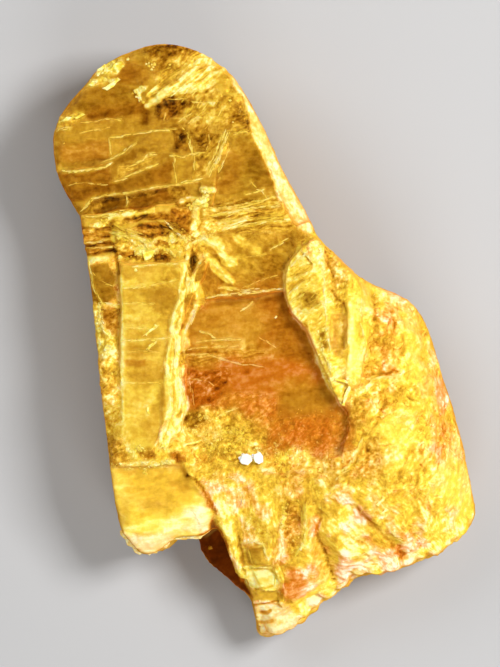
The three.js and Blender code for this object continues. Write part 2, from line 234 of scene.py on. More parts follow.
def inside_distance(points: np.ndarray, outline: Path) -> np.ndarray:
    """Measures how far points in plan lie inside an outline.

    Args:
        points: Places in plan, an N by 2 array.
        outline: The corners of the outline.

    Returns:
        Distances to the outline, positive inside it and negative outside.
    """
    inside = np.zeros(len(points), bool)
    x, y = points[:, 0], points[:, 1]
    for (ax, ay), (bx, by) in zip(outline, outline[1:] + outline[:1]):
        if ay != by:
            inside ^= ((ay > y) != (by > y)) & (x < (bx - ax) * (y - ay) / (by - ay) + ax)
    nearest = line_distance(points, outline + outline[:1])
    return np.where(inside, nearest, -nearest)


# ---- The stone's habits, zones and lines ----

STRIKE = 6.5  # degrees: the cleavage steps and cracks of the plate run this way, up from +X
FAN = 999.0  # marks a habit whose fibres follow the fan
FAN_ROOT = -12.0  # millimetres: the Y of the line that the fan's fibres spring from
FAN_STARTS = (-4, 0, 1.5, 4.3, 8, 10.5, 12.8, 16)  # millimetres: the X of places on that line
FAN_LEANS = (0.25, 0.12, 0, 0.36, 0.9, 0.75, 0.5, 0.2)  # how far along X a fibre runs for each unit down Y


@dataclass(frozen=True)
class Habit:
    """How the mineral is grown or broken in one place.

    Attributes:
        clear: How glassy it is, from 0, fractured and satin, to 1, clear.
        facet: How strongly it is broken into small crystal faces.
        mottle: How strongly its tone varies.
        length: The length of a fleck in millimetres.
        width: The width of a fleck in millimetres.
        angle: The direction of the flecks in degrees, or FAN.
        relief: The height of the flecks in millimetres.
        blush: How strongly its warmth varies.
        crazed: How strongly fine dark cracks show in it.
    """

    clear: float
    facet: float
    mottle: float
    length: float
    width: float
    angle: float
    relief: float
    blush: float
    crazed: float


GLASS = Habit(0.95, 0.05, 0.08, 2.0, 0.7, STRIKE, 0.02, 0.1, 0.0)
SMOKE = Habit(0.8, 0.12, 0.18, 1.2, 0.55, 40, 0.03, 0.1, 0.1)
STREAK = Habit(0.55, 0.15, 0.17, 2.8, 0.28, STRIKE + 3, 0.04, 0.1, 0.0)
SATIN = Habit(0.75, 0.05, 0.065, 2.2, 0.9, STRIKE, 0.015, 0.06, 0.0)
HAZE = Habit(0.6, 0.1, 0.1, 1.3, 0.7, -28, 0.02, 0.1, 0.0)
SPECKLE = Habit(0.4, 0.6, 0.09, 0.6, 0.3, 40, 0.04, 0.2, 0.3)
GRAIN = Habit(0.1, 0.3, 0.14, 0.9, 0.6, 55, 0.08, 0.4, 1.0)
FELT = Habit(0.1, 0.2, 0.085, 0.9, 0.6, 55, 0.06, 0.25, 0.5)
CRUMB = Habit(0.2, 0.6, 0.16, 0.6, 0.45, 40, 0.07, 0.2, 0.25)
FIBRE = Habit(0.2, 0.15, 0.14, 2.2, 0.55, FAN, 0.06, 0.8, 0.4)
PLUME = Habit(0.3, 0.1, 0.15, 2.6, 0.22, 38, 0.02, 0.05, 0.0)
TORN = Habit(0.3, 0.1, 0.11, 2.4, 0.22, 97, 0.02, 0.05, 0.0)
MATT = Habit(0.1, 0.2, 0.05, 2.0, 0.7, 10, 0.02, 0.12, 0.1)
CHALKY = Habit(0.1, 0.2, 0.1, 1.2, 0.5, 118, 0.04, 0.1, 0.0)
FINNED = Habit(0.2, 0.15, 0.12, 1.2, 0.3, 30, 0.04, 0.15, 0.3)
SMOOTH = Habit(0.5, 0.0, 0.04, 2.4, 0.8, 40, 0.0, 0.05, 0.0)


@dataclass(frozen=True)
class Zone:
    """A patch of the upper face that has one tone and one habit.

    Attributes:
        tone: Its main tone.
        habit: How it is grown or broken.
        soft: The width of its border in millimetres.
        outline: Its outline in plan, in millimetres.
    """

    tone: Tone
    habit: Habit
    soft: float
    outline: Path


ZONES: tuple[Zone, ...] = (
    # The whole of the mass, then its tans, creams and roses.
    Zone(Tone.GOLD, GRAIN, 2.5, xy(-7, -9, 8, -9.5, 10, -4, 8, -12, 3, -14, -3, -13)),
    Zone(Tone.CHALK, GRAIN, 1, xy(9.2, 3.2, 9, 5, 12, 4.5, 11.4, 3.3)),
    Zone(Tone.TAN, GRAIN, 2.2, xy(8.9, 2.9, 10.9, 3, 11.2, 1.2, 10.9, -2.6, 8.2, -2.7, 8.4, 0.3, 9, 1.2)),
    Zone(Tone.TAN, GRAIN, 1.6, xy(8.6, 0.2, 10.2, 0.6, 10.9, -0.6, 10.4, -2.6, 8.6, -2.6)),
    Zone(Tone.LEMON, FELT, 1, xy(6.8, 6.2, 9.3, 4.6, 8.8, 2.6, 8.2, 0.5, 7.6, -2.8, 6.6, -2.9, 6.8, 2.8)),
    Zone(Tone.LEMON, FELT, 2, xy(11.2, 2.6, 13.6, -0.4, 13.4, -4.4, 11.8, -2.4)),
    Zone(Tone.TAN, GRAIN, 2.5, xy(7.4, -4, 10.2, -4.2, 9.6, -7.6, 8.2, -9, 7.6, -6.4)),
    Zone(Tone.LEMON, FELT, 2.5, xy(9.4, -6.8, 12.4, -5.4, 13.2, -8.6, 10.4, -9.8)),
    Zone(Tone.PEACH, GRAIN, 1.1, xy(13.7, -0.8, 14.6, -0.6, 15.2, -4.9, 15, -10.1, 14.2, -9.8, 13.9, -4.9)),
    Zone(Tone.ROSE, GRAIN, 0.7, xy(14, -3.7, 14.9, -3.5, 15, -6, 14.2, -6.2)),
    Zone(Tone.ROSE, GRAIN, 0.8, xy(14, -8.7, 15, -8.8, 14.9, -10.3, 14.1, -10.1)),
    Zone(Tone.CHALK, GRAIN, 1, xy(15.6, -6.8, 16.4, -7.2, 17, -11.5, 16.3, -10.8)),
    Zone(Tone.CREAM, FELT, 2, xy(13.8, -9.9, 15.9, -10, 17.9, -13.2, 17.2, -15.4, 14.6, -14, 13.6, -12)),
    Zone(Tone.CREAM, FIBRE, 2, xy(13, -13.8, 17.9, -14, 16.6, -17.4, 13.4, -19, 12.4, -16.5)),
    # The glassy lobe and its bands.
    Zone(Tone.HONEY, GLASS, 0.5, xy(-19, 8.8, -19, 26, -2.2, 25, 4.5, 9.1, 2.8, 8.4, -5.5, 9.6)),
    Zone(Tone.DEEP_GOLD, SMOKE, 1.6, xy(-10.8, 24.8, -6, 25.4, -2, 23, -1, 17.5, -6, 17, -9, 20.5)),
    Zone(Tone.DARK_OLIVE, SMOKE, 1.2, xy(-10.4, 24.1, -9.4, 24.8, -6.9, 25, -6.4, 23.9, -8.4, 23.1)),
    Zone(Tone.OLIVE, SMOKE, 1, xy(-6.8, 24.9, -4.6, 24.4, -4.2, 23.6, -5.6, 23.8)),
    Zone(Tone.SIENNA, GLASS, 1.6, xy(-11.8, 23.4, -9.8, 23.6, -9.6, 21.9, -11.3, 21.2, -15.2, 20.2,
         -12.2, 21.9)),
    Zone(Tone.LEMON, CRUMB, 0.4, xy(-14.3, 22.1, -13.8, 23, -12.2, 23.6, -11.7, 23, -12.3, 22.4,
         -13.4, 22.1)),
    Zone(Tone.LEMON, CRUMB, 0.3, xy(-14.9, 21.2, -14.6, 21.7, -13.5, 21.8, -12.2, 21.9, -12.7, 21.2,
         -13.3, 20.9)),
    Zone(Tone.OLIVE, GLASS, 1.3, xy(-16.9, 19.2, -14.4, 21, -12.2, 21.2, -11.2, 19.6, -14.6, 18.7)),
    Zone(Tone.SIENNA, GLASS, 1, xy(-14.8, 19.2, -12.6, 19.5, -10.4, 20.2, -9.5, 19, -10.4, 18.2,
         -14.9, 18.3)),
    Zone(Tone.GOLD, CRUMB, 0.6, xy(-17.5, 17.6, -17.2, 18.6, -15.2, 19.1, -15.4, 18.2, -16.4, 17.6)),
    Zone(Tone.HONEY, SATIN, 0.5, xy(-15.6, 18.2, -12, 18.4, -10.2, 17.4, -13.2, 16.8, -17, 16.6,
         -17.2, 17.4)),
    Zone(Tone.BROWN, GLASS, 0.7, xy(-11.2, 20.6, -10.6, 20.9, -10.1, 19.6, -9.6, 18.9, -9.6, 17.7,
         -10.6, 17.8)),
    Zone(Tone.DARK_OLIVE, SMOKE, 1.1, xy(-9.2, 19.5, -8.2, 20.3, -6.2, 20, -6.7, 18.8, -8.1, 17.7, -9, 18.4)),
    Zone(Tone.HONEY, PLUME, 1, xy(-9.6, 21, -8.2, 22.6, -6.8, 23.3, -5.9, 24, -5, 23.8, -6.6, 22.4,
         -8.2, 21)),
    Zone(Tone.PALE_GOLD, PLUME, 0.5, xy(-8.6, 20.6, -7.4, 22, -6.2, 23.2, -5.2, 23.8, -4.2, 23.4, -3.2, 22.8,
         -3.9, 21.9, -4.6, 21.2, -5.8, 20.7, -7.2, 20.5, -8.4, 20.1)),
    Zone(Tone.WHITE, SATIN, 0.2, xy(-11, 20.9, -10.6, 21.15, -9.8, 21.2, -9.9, 20.9, -10.3, 20.6, -10.3, 20.2,
         -10.1, 19.7, -10.5, 19.9, -10.8, 20.5)),
    Zone(Tone.PALE_GOLD, PLUME, 0.2, xy(-10, 20.2, -9.6, 20.9, -9, 21.4, -8.6, 21.1, -9.2, 20.5, -9.7, 20)),
    Zone(Tone.WHITE, SATIN, 0.2, xy(-10, 19.5, -9.4, 19.6, -8.6, 20, -8, 20.4, -8, 20.9, -8.3, 21.2,
         -8.7, 20.8, -9.2, 20.3, -9.9, 19.9)),
    Zone(Tone.BROWN, SMOKE, 0.6, xy(-9.1, 19.3, -8.6, 19.8, -7.6, 20, -7, 19.4, -7.4, 18.4, -8.4, 18)),
    Zone(Tone.GOLD, GLASS, 0.9, xy(-4.3, 22.5, -3.2, 22.6, -2.4, 21.4, -3.1, 20.4, -4.3, 20.4)),
    Zone(Tone.OLIVE, SMOKE, 1, xy(-3.5, 18.9, -2.6, 20.1, -1.9, 19.6, -1.4, 17.9, -3, 17.4)),
    Zone(Tone.OLIVE, SMOKE, 1.2, xy(-6.4, 18.6, -4.4, 18, -3.6, 16.6, -5.4, 15.8, -6.4, 16.6)),
    Zone(Tone.DARK_OLIVE, SMOKE, 0.7, xy(-7.8, 17.7, -6.8, 17.9, -6.3, 16.6, -6.4, 15.6, -7.7, 15.6)),
    Zone(Tone.HONEY, SATIN, 0.6, xy(-10.6, 17.1, -8, 17.5, -7.7, 16.2, -10.2, 15.9)),
    Zone(Tone.AMBER, GLASS, 0.35, xy(-17.4, 16.3, -13.1, 16.6, -13, 15.3, -15.3, 14.7, -17.4, 14.9)),
    Zone(Tone.CARAMEL, GLASS, 0.9, xy(-17, 16.2, -14.4, 16.3, -14, 15.7, -16.9, 15.4)),
    Zone(Tone.HONEY, SATIN, 0.3, xy(-12.8, 16.7, -11.3, 16.5, -12.3, 15.5, -12.9, 15.5)),
    Zone(Tone.HONEY, GLASS, 0.6, xy(-12.2, 15.4, -10.9, 16.4, -8.2, 16.2, -7.6, 15.3, -8.2, 14.4,
         -10.2, 14.2)),
    Zone(Tone.OLIVE, SATIN, 0.3, xy(-12.9, 13, -12.9, 14.6, -12.3, 15.2, -10.8, 16.3, -10.5, 15.4,
         -11.3, 14.7)),
    Zone(Tone.DEEP_GOLD, STREAK, 0.4, xy(-12.6, 13.2, -12.2, 14.5, -10.6, 15.2, -9.4, 15.6, -9.4, 14.9)),
    Zone(Tone.BROWN, GLASS, 0.4, xy(-17.2, 14, -13, 14.3, -12.9, 12.3, -16.6, 11.8)),
    Zone(Tone.SIENNA, GLASS, 0.9, xy(-16.9, 14, -13.2, 14.1, -13.4, 12.9, -16.3, 12.4)),
    Zone(Tone.DARK_OLIVE, SATIN, 0.5, xy(-12.8, 13, -9.2, 14.3, -7.8, 14.3, -7.8, 13, -12.4, 12.3)),
    Zone(Tone.SIENNA, SATIN, 0.6, xy(-9.9, 14.3, -7.8, 15, -7.6, 13.1, -9.4, 13.1)),
    Zone(Tone.OLIVE, SMOKE, 0.3, xy(-15.4, 11.1, -14.4, 11.8, -12, 12.2, -7.2, 12.9, -6.2, 12.2, -6.6, 10.9,
         -11.4, 10.9, -12.6, 10.7, -15.2, 10.4)),
    Zone(Tone.HONEY, SATIN, 0.4, xy(-7.6, 15.2, -6.1, 15.4, -6, 13.3, -7.6, 13.1)),
    Zone(Tone.HONEY, SMOKE, 0.5, xy(-6, 15.6, -4.4, 15.8, -4.9, 14.2, -5.9, 13.4)),
    Zone(Tone.HONEY, GLASS, 0.4, xy(-3.2, 16.8, -1.3, 17.3, 0.3, 14, 0.9, 11.9, -4.4, 11.6, -3.9, 14.6)),
    Zone(Tone.AMBER, GLASS, 1.4, xy(-3, 15.8, -1.8, 15.6, -1.9, 12.8, -3.8, 12.9, -3.5, 14.4)),
    Zone(Tone.OLIVE, GLASS, 0.9, xy(-1.7, 16.4, -0.6, 16, 0.3, 13.2, -0.9, 12.8, -1.4, 14.6)),
    Zone(Tone.DEEP_GOLD, STREAK, 0.5, xy(-5.6, 11.7, 0.8, 12, 2, 10.2, -3, 9.3, -5.6, 9.4)),
    Zone(Tone.CHALK, CHALKY, 0.35, xy(-3.4, 23.2, 0.2, 18.3, 4.2, 10, 3.9, 8.8, 2.1, 9.4, 1.4, 11.4,
         0.3, 13.8, -0.6, 16, -1.3, 18, -1.9, 20.2, -2.9, 22)),
    # The neck and the floor above the hollow.
    Zone(Tone.AMBER, STREAK, 0.3, xy(-17, 9.5, -12.8, 9.5, -12.4, 7.3, -17, 6.9)),
    Zone(Tone.WHITE, SATIN, 0.3, xy(-17, 7.1, -12.8, 7.3, -12.9, 6.6, -17, 6.3)),
    Zone(Tone.DEEP_GOLD, CRUMB, 0.7, xy(-13, 10.6, -6.3, 11, -5.4, 9.4, -4.2, 7.4, -5.6, 6.9, -6.6, 6.2,
         -12.5, 6.3)),
    Zone(Tone.SIENNA, STREAK, 0.6, xy(-11.2, 10.2, -7.9, 10.1, -7.2, 9.2, -10.8, 8.9)),
    Zone(Tone.PALE_GOLD, CRUMB, 1.2, xy(-12.4, 9, -9.8, 8.4, -6.6, 8.6, -6.8, 7.6, -12.2, 7.9)),
    Zone(Tone.DARK_OLIVE, GLASS, 0.3, xy(-14.4, 10.9, -12.6, 11.9, -11.7, 12.1, -11.6, 11.1, -12.6, 10.7,
         -14.2, 10.5)),
    Zone(Tone.BROWN, GLASS, 0.4, xy(-11.4, 12.1, -8, 12.5, -7.6, 11.6, -9.6, 11.2, -11.3, 11.1)),
    Zone(Tone.GOLD, SATIN, 0.2, xy(-15.2, 10.3, -13, 10.4, -12.6, 9.9, -13.8, 9.5, -15.2, 9.5)),
    Zone(Tone.LEMON, CRUMB, 0.2, xy(-14.8, 9.8, -13.9, 10, -13, 10.1, -12.9, 9.7, -13.8, 9.4, -14.7, 9.3)),
    Zone(Tone.WHITE, HAZE, 0.2, xy(-13.1, 10, -12.7, 10.5, -11.8, 10.85, -10.9, 10.95, -11.2, 10.5,
         -12.2, 10.2)),
    Zone(Tone.LEMON, HAZE, 0.25, xy(-10.9, 10.7, -9.2, 10.95, -9.2, 10.55, -10.8, 10.4)),
    Zone(Tone.GOLD, SATIN, 0.3, xy(-9.1, 11.2, -7.5, 11.4, -7.4, 10.5, -8.4, 10.3, -9.1, 10.5)),
    Zone(Tone.BROWN, STREAK, 0.25, xy(-11.6, 10.3, -8.2, 10.45, -7.6, 10.1, -8, 9.95, -11, 10.05)),
    Zone(Tone.GOLD, SATIN, 0.2, xy(-12.9, 9.4, -12.4, 9.75, -11, 9.9, -8.3, 9.95, -8.2, 9.75, -10.8, 9.6,
         -12.2, 9.3)),
    Zone(Tone.BROWN, CRUMB, 0.25, xy(-10.7, 9.5, -9.6, 9.7, -8, 9.65, -7.7, 9.25, -9.4, 9.2, -10.6, 9.1)),
    Zone(Tone.SIENNA, CRUMB, 0.25, xy(-10.6, 8.9, -8.4, 9, -8.2, 8.7, -9.2, 8.6, -10, 8.4)),
    Zone(Tone.LEMON, HAZE, 0.15, xy(-12.9, 9.3, -12.3, 9.35, -11.4, 9.1, -10.6, 8.9, -9.9, 8.4, -9.4, 8,
         -10.2, 8.1, -10.9, 8.5, -11.8, 8.8, -12.7, 8.9)),
    Zone(Tone.PALE_GOLD, SATIN, 0.15, xy(-12.9, 9.2, -12.6, 8.9, -12.4, 8.4, -12.8, 8.3, -13, 8.7)),
    Zone(Tone.WHITE, HAZE, 0.12, xy(-8.15, 9, -7.9, 9.1, -7.5, 8.6, -7.5, 8.2, -8, 8.15, -8.2, 8.4)),
    Zone(Tone.SIENNA, CRUMB, 0.2, xy(-9.2, 8.2, -8.3, 8.1, -8, 7.7, -9.4, 7.9)),
    Zone(Tone.LEMON, SATIN, 0.2, xy(-11, 7.6, -9.8, 7.8, -9, 7.6, -9.6, 6.8, -10.2, 6.7, -10.7, 7.1)),
    Zone(Tone.BROWN, CRUMB, 0.25, xy(-12, 7.2, -11, 7.3, -10.7, 6.7, -12.2, 6.6)),
    Zone(Tone.BROWN, CRUMB, 0.25, xy(-9.1, 7.5, -8.3, 7.3, -8.1, 6.6, -9.5, 6.5)),
    Zone(Tone.PALE_GOLD, SATIN, 0.2, xy(-8.1, 7.4, -6.8, 7.6, -6.7, 6.6, -8, 6.5)),
    Zone(Tone.HONEY, HAZE, 0.6, xy(-4.2, 9.4, 2, 9.9, 3, 8.8, 2, 6.6, 1.7, 4.2, -4.9, 3.6, -5.4, 5.9)),
    Zone(Tone.DEEP_GOLD, STREAK, 1.2, xy(-3.2, 9.6, 2, 10, 2, 9, -2.6, 8.6)),
    Zone(Tone.OLIVE, HAZE, 1.4, xy(0.2, 7.5, 2.2, 8.5, 1.7, 6.2, 1.7, 4.7, -0.8, 4.7)),
    Zone(Tone.AMBER, HAZE, 1.2, xy(-5.4, 6.3, -3.4, 5.6, -2.4, 4.5, -5, 3.7)),
    Zone(Tone.GOLD, CRUMB, 0.8, xy(-5.9, 10.6, -3.9, 10.3, -3, 9.4, -3.6, 8.9, -5, 8.6, -5.9, 8.8)),
    Zone(Tone.BROWN, CRUMB, 0.5, xy(-7.6, 10.7, -6.4, 10.9, -6.3, 9, -6.9, 9, -7.6, 9.6)),
    Zone(Tone.LEMON, HAZE, 0.12, xy(-5.2, 8.9, -4, 8.4, -3.4, 7.8, -3.2, 7.2, -2.5, 7, -2.2, 6.6, -2.3, 6.2,
         -2.8, 6.2, -3.5, 6.4, -3.9, 7.2, -4.5, 7.7, -5.4, 8)),
    Zone(Tone.LEMON, HAZE, 0.12, xy(-5.2, 7.4, -4.5, 7, -3.9, 6.6, -3.5, 6.1, -3.2, 5.7, -2.8, 5.3, -2.5, 4.8,
         -2.9, 4.7, -3.3, 5, -4, 5.5, -4.6, 6, -5.2, 6.7)),
    Zone(Tone.LEMON, HAZE, 0.35, xy(-3, 8.9, -2.3, 8.8, -1.8, 8.6, -1.9, 8.2, -2.9, 8.3)),
    Zone(Tone.PALE_GOLD, HAZE, 0.5, xy(-1.9, 8.3, -1.4, 8.3, -1.3, 7.9, -1.9, 7.9)),
    Zone(Tone.PALE_GOLD, HAZE, 0.5, xy(-0.9, 7.8, -0.4, 7.7, -0.4, 7.3, -0.9, 7.3)),
    Zone(Tone.LEMON, HAZE, 0.15, xy(-4, 4.45, -3, 4.5, -2, 4.4, -1, 4.5, -0.1, 4.5, -1.4, 4.1, -3.2, 4.1)),
    # The margin, the column and the block.
    Zone(Tone.OLIVE, GLASS, 0.3, xy(-17, 6.4, -12.9, 6.4, -12.4, 5.2, -12.6, 3.6, -13.4, 3.1, -17, 3.5)),
    Zone(Tone.LEMON, CRUMB, 0.5, xy(-17, 3.2, -13.5, 3, -13.6, 1.4, -12.3, 0.1, -12.2, -1.6, -17, -1.8)),
    Zone(Tone.AMBER, SMOKE, 0.4, xy(-13.7, 2.7, -12.3, 2.9, -12.3, 0.2, -12.7, 0.3, -13.3, 1)),
    Zone(Tone.GOLD, CRUMB, 1, xy(-17, -1.8, -12.2, -1.6, -12.1, -5, -17, -5.2)),
    Zone(Tone.GOLD, SMOKE, 1.4, xy(-17, -5.2, -12.1, -5, -12.1, -7.9, -11, -10.1, -17, -10.8)),
    Zone(Tone.DEEP_GOLD, CRUMB, 0.8, xy(-13.2, -8.2, -11.8, -7.9, -11, -9.6, -12.9, -10.4)),
    Zone(Tone.GOLD, SATIN, 0.15, xy(-12.2, 6.3, -6.9, 6.5, -7.5, 2, -8.1, 0, -8.3, -3, -8.2, -6, -8.8, -8,
         -9.7, -10, -11, -9.9, -12.1, -8.2)),
    Zone(Tone.DEEP_GOLD, HAZE, 1.6, xy(-8.8, 6.2, -6.9, 6.2, -7.3, 2.6, -8.4, 1, -9.6, 3.4)),
    Zone(Tone.HONEY, SATIN, 0.8, xy(-11.7, 0, -9.6, -0.1, -9.7, -1.5, -11.6, -1.6)),
    Zone(Tone.DEEP_GOLD, SATIN, 0.9, xy(-11.6, -1.8, -8.4, -1.9, -8.4, -3.4, -11.6, -3.4)),
    Zone(Tone.PALE_GOLD, SATIN, 1.6, xy(-12, -4.4, -9.4, -5.2, -9.8, -7.8, -10.9, -9, -12, -7.8)),
    Zone(Tone.DEEP_GOLD, SATIN, 1.2, xy(-8.5, -4.4, -9, -4.2, -10.1, -7, -9.3, -7.6)),
    Zone(Tone.LEMON, SATIN, 0.2, xy(-12, 5.1, -10.8, 5.2, -10.7, 4.6, -11.9, 4.4)),
    Zone(Tone.HONEY, SATIN, 0.5, xy(-10.2, 3.9, -7.7, 4.6, -7.5, 2.6, -9, 2.2)),
    Zone(Tone.PALE_GOLD, SATIN, 0.3, xy(-12, 2.3, -9.6, 2.4, -8.6, 1.9, -12, 1.6)),
    Zone(Tone.HONEY, SATIN, 0.25, xy(-11.7, -0.3, -9, -0.2, -9.3, -0.8, -11.7, -0.9)),
    Zone(Tone.AMBER, SATIN, 0.15, xy(-11.7, -1.75, -9.9, -1.7, -9.7, -2.2, -11.6, -2.25)),
    Zone(Tone.HONEY, SATIN, 0.15, xy(-11.7, -2.7, -8.6, -2.6, -8.6, -3.3, -11.7, -3.35)),
    Zone(Tone.PALE_GOLD, SATIN, 0.2, xy(-11.8, -3.6, -9, -3.6, -9.2, -4.9, -11.8, -5)),
    Zone(Tone.LEMON, TORN, 0.4, xy(-7, 6.8, -7.4, 3, -8, 0, -8.3, -4, -8, -6.5, -8.8, -8.8, -8, -8.9,
         -6.9, -7, -6.6, -5, -7.1, -2.6, -7, -1, -6.4, -0.9, -6.4, 0.3, -5.7, 3.4, -5.4, 4.6, -6.3, 7.2)),
    Zone(Tone.HONEY, HAZE, 0.2, xy(-6.7, 3.7, -6.2, 4, -5.9, 3.7, -5.95, 2.9, -6.3, 2.1, -6.6, 1.4, -6.9, 1,
         -7.1, 1.2, -6.9, 2, -6.9, 3)),
    Zone(Tone.GOLD, HAZE, 0.3, xy(-6.6, 2.9, -6.3, 2.9, -6.4, 1.9, -6.9, 1.6)),
    Zone(Tone.DARK_OLIVE, SMOKE, 0.25, xy(-6.5, 7.3, -5.8, 7.2, -5.5, 6.6, -6, 5.7, -6.3, 5.1, -6.5, 5.6)),
    Zone(Tone.OLIVE, HAZE, 0.3, xy(-5.6, 6.5, -5.1, 6.7, -4.9, 5.8, -5.1, 5, -5.5, 4.8, -6, 4.8, -6, 5.2)),
    Zone(Tone.PALE_GOLD, MATT, 0.4, xy(-13.9, -10.6, -7, -10.2, -4.2, -14.4, -4.2, -16.1, -8, -18.8,
         -14, -18.8)),
    Zone(Tone.RUSSET, CRUMB, 0.3, xy(-7.9, -9.3, -7.1, -9.3, -6.6, -10.1, -7.3, -10.3, -7.8, -9.9)),
    Zone(Tone.SIENNA, CRUMB, 0.4, xy(-10.3, -8.9, -9.3, -8.9, -9, -9.6, -10.2, -9.6)),
    Zone(Tone.CREAM, CRUMB, 0.25, xy(-12, -10, -10.4, -9.9, -7.9, -9.8, -7.9, -10.2, -9.6, -10.3,
         -11.9, -10.4)),
    Zone(Tone.DEEP_GOLD, MATT, 2, xy(-11, -10.6, -7, -10.4, -5.9, -12.6, -9.6, -12)),
    Zone(Tone.GOLD, MATT, 2.5, xy(-11.2, -12.2, -7, -11.8, -6.2, -14.4, -10.8, -14.9)),
    Zone(Tone.CREAM, MATT, 1.4, xy(-13, -15.5, -6.8, -14.6, -5.9, -12.9, -4.4, -14.4, -4.2, -16.9,
         -13, -16.5)),
    Zone(Tone.IVORY, MATT, 1, xy(-6.6, -14.2, -5.5, -13.5, -4.5, -14.8, -4.6, -16.4, -6.8, -15.8)),
    Zone(Tone.HONEY, MATT, 0.8, xy(-7.4, -11.5, -6.5, -11.6, -6.4, -12.5, -7.2, -12.6)),
    Zone(Tone.CHALK, MATT, 0.9, xy(-13, -16.3, -7.6, -16, -7.6, -18.8, -13, -18.8)),
    # The amber hollow.
    Zone(Tone.COPPER, SATIN, 0.4, xy(-5.5, 3.5, 1.7, 4.2, 2.5, 1.6, 4.2, -0.9, 5, -3.6, 6.7, -5.2, 7.7, -6.6,
         7.5, -9, 2.8, -8.9, -0.6, -8.4, -4, -6.6, -6.6, -6, -6.8, -4, -6.8, -0.9)),
    Zone(Tone.RUSSET, GLASS, 1.8, xy(-3.4, 4.2, 1.9, 4.6, 3.1, 1.2, 4.5, -0.7, 5, -2.8, 0.9, -1.8, -0.4, 0.9,
         0.2, 2.4, -1.4, 2.9)),
    Zone(Tone.AMBER, SATIN, 1.8, xy(-6.4, 2.9, -3.6, 3.2, -3, 1.4, -6.4, 0.2)),
    Zone(Tone.CARAMEL, SATIN, 2, xy(-4.8, 2.9, -1, 3.1, -0.4, 0.9, 0.3, -1.2, -2.4, -1.5, -6.8, -0.4)),
    Zone(Tone.CARAMEL, STREAK, 1.3, xy(-6.8, -0.7, -0.2, -0.8, 0.7, -1.9, -4, -2.3, -6.6, -2.1)),
    Zone(Tone.BURNT_ORANGE, SATIN, 1.8, xy(-4.6, -1.8, 0.8, -1.6, 5, -2.2, 5.4, -4.1, 2.8, -4.8, -2.8, -5)),
    Zone(Tone.BURNT_ORANGE, SATIN, 1.8, xy(-1, -3, 2.8, -2.8, 3.2, -4, -0.4, -4.8)),
    Zone(Tone.TERRACOTTA, SMOKE, 1.2, xy(-6.6, -2.5, -3.4, -2.4, -3.3, -4.6, -4.4, -5.9, -5.8, -6,
         -6.6, -4.8)),
    Zone(Tone.AMBER, SATIN, 1.8, xy(0.8, -4, 5.2, -3.6, 6.4, -5.4, 4.6, -6.5, 1.2, -6.5)),
    Zone(Tone.COPPER, SPECKLE, 1.6, xy(-3.6, -4.4, 0.8, -4.4, 1, -6.4, -0.8, -7.4, -3.6, -6.2)),
    Zone(Tone.COPPER, SPECKLE, 1.4, xy(-0.8, -6.4, 5.3, -6.1, 7.4, -5.4, 7.8, -8.8, 4.5, -9.4, -0.6, -9)),
    Zone(Tone.BURNT_ORANGE, SPECKLE, 2.2, xy(0.6, -6.9, 5, -6.6, 4.6, -8.9, 0.8, -8.8)),
    Zone(Tone.HONEY, CRUMB, 1.4, xy(6.4, -5, 7.6, -3.7, 8.1, -6, 8, -8.6, 6.9, -8.9, 7.2, -6.6)),
    Zone(Tone.DEEP_GOLD, CRUMB, 1.4, xy(-6.9, -5.9, -3.4, -6, -0.8, -6.8, -0.3, -9.2, -2.2, -10.3,
         -6.8, -9.1)),
    Zone(Tone.OLIVE, SMOKE, 0.5, xy(-6.7, -6, -5.4, -5.9, -5, -6.9, -6.2, -7.4)),
    Zone(Tone.TAN, CRUMB, 1.2, xy(7.7, -8.4, 9.2, -8.2, 9, -11.2, 7.8, -11.4)),
    # The shard, the ridge and the upper mass.
    Zone(Tone.LEMON, FINNED, 0.2, xy(2.8, 7.7, 1.8, 6.4, 1.5, 5.3, 1.6, 3.4, 2.3, 2.2, 3.6, 0.6, 4.2, -1.2,
         5, -3.4, 6.2, -5.2, 6.6, -2.4, 6.5, 1.4, 5.3, 4.4, 4.8, 6.9)),
    Zone(Tone.LEMON, GRAIN, 0.6, xy(3, 7.7, 4.2, 9, 5.2, 8.4, 4.9, 5, 4.5, 5.4, 4.3, 6.2)),
    Zone(Tone.HONEY, SMOKE, 1.3, xy(2.9, 4.1, 4.3, 4, 4.3, 2.8, 3, 2.7)),
    Zone(Tone.DARK_OLIVE, GLASS, 0.4, xy(4.3, 0.7, 4.9, 0.5, 5.3, -0.5, 4.8, -0.9)),
    Zone(Tone.TAN, GLASS, 0.8, xy(5.1, 2.6, 6.3, 2.2, 6.2, -1.4, 5.4, -1.2)),
    Zone(Tone.GOLD, CRUMB, 0.8, xy(4.9, 7.6, 6, 6.6, 6.3, 4.4, 6.6, 2.9, 5.4, 2.6, 5, 4.4)),
    Zone(Tone.LEMON, MATT, 0.5, xy(6.8, 3.1, 7.4, 3, 7.5, 0.1, 7.2, -3.1, 6.6, -3.1, 6.6, 0.9)),
    # The fan.
    Zone(Tone.PALE_GOLD, FIBRE, 2.5, xy(-4.6, -11, 13.5, -12.8, 12.4, -20, 3, -25.6, -2, -25.6, -3.4, -18)),
    Zone(Tone.CHALK, FIBRE, 2, xy(-1, -19.6, 12.5, -16.8, 12.4, -20, 3, -25.6, -1, -25.6)),
    Zone(Tone.ORANGE, FIBRE, 0.8, xy(-5.6, -11.6, -4, -12.2, -3.8, -13.9, -4.9, -13.9)),
    Zone(Tone.CREAM, FIBRE, 0.6, xy(-4.3, -12.4, -2.9, -13.4, -2.3, -16.5, -1.5, -20.6, -1.6, -22,
         -3.1, -18)),
    Zone(Tone.GOLD, SMOKE, 1.8, xy(-2.2, -14, -0.1, -14.2, 0.1, -16.4, -1.9, -16.2)),
    Zone(Tone.DEEP_GOLD, GLASS, 1, xy(-2, -16.9, 0, -16.8, 0.4, -19, -1.7, -19)),
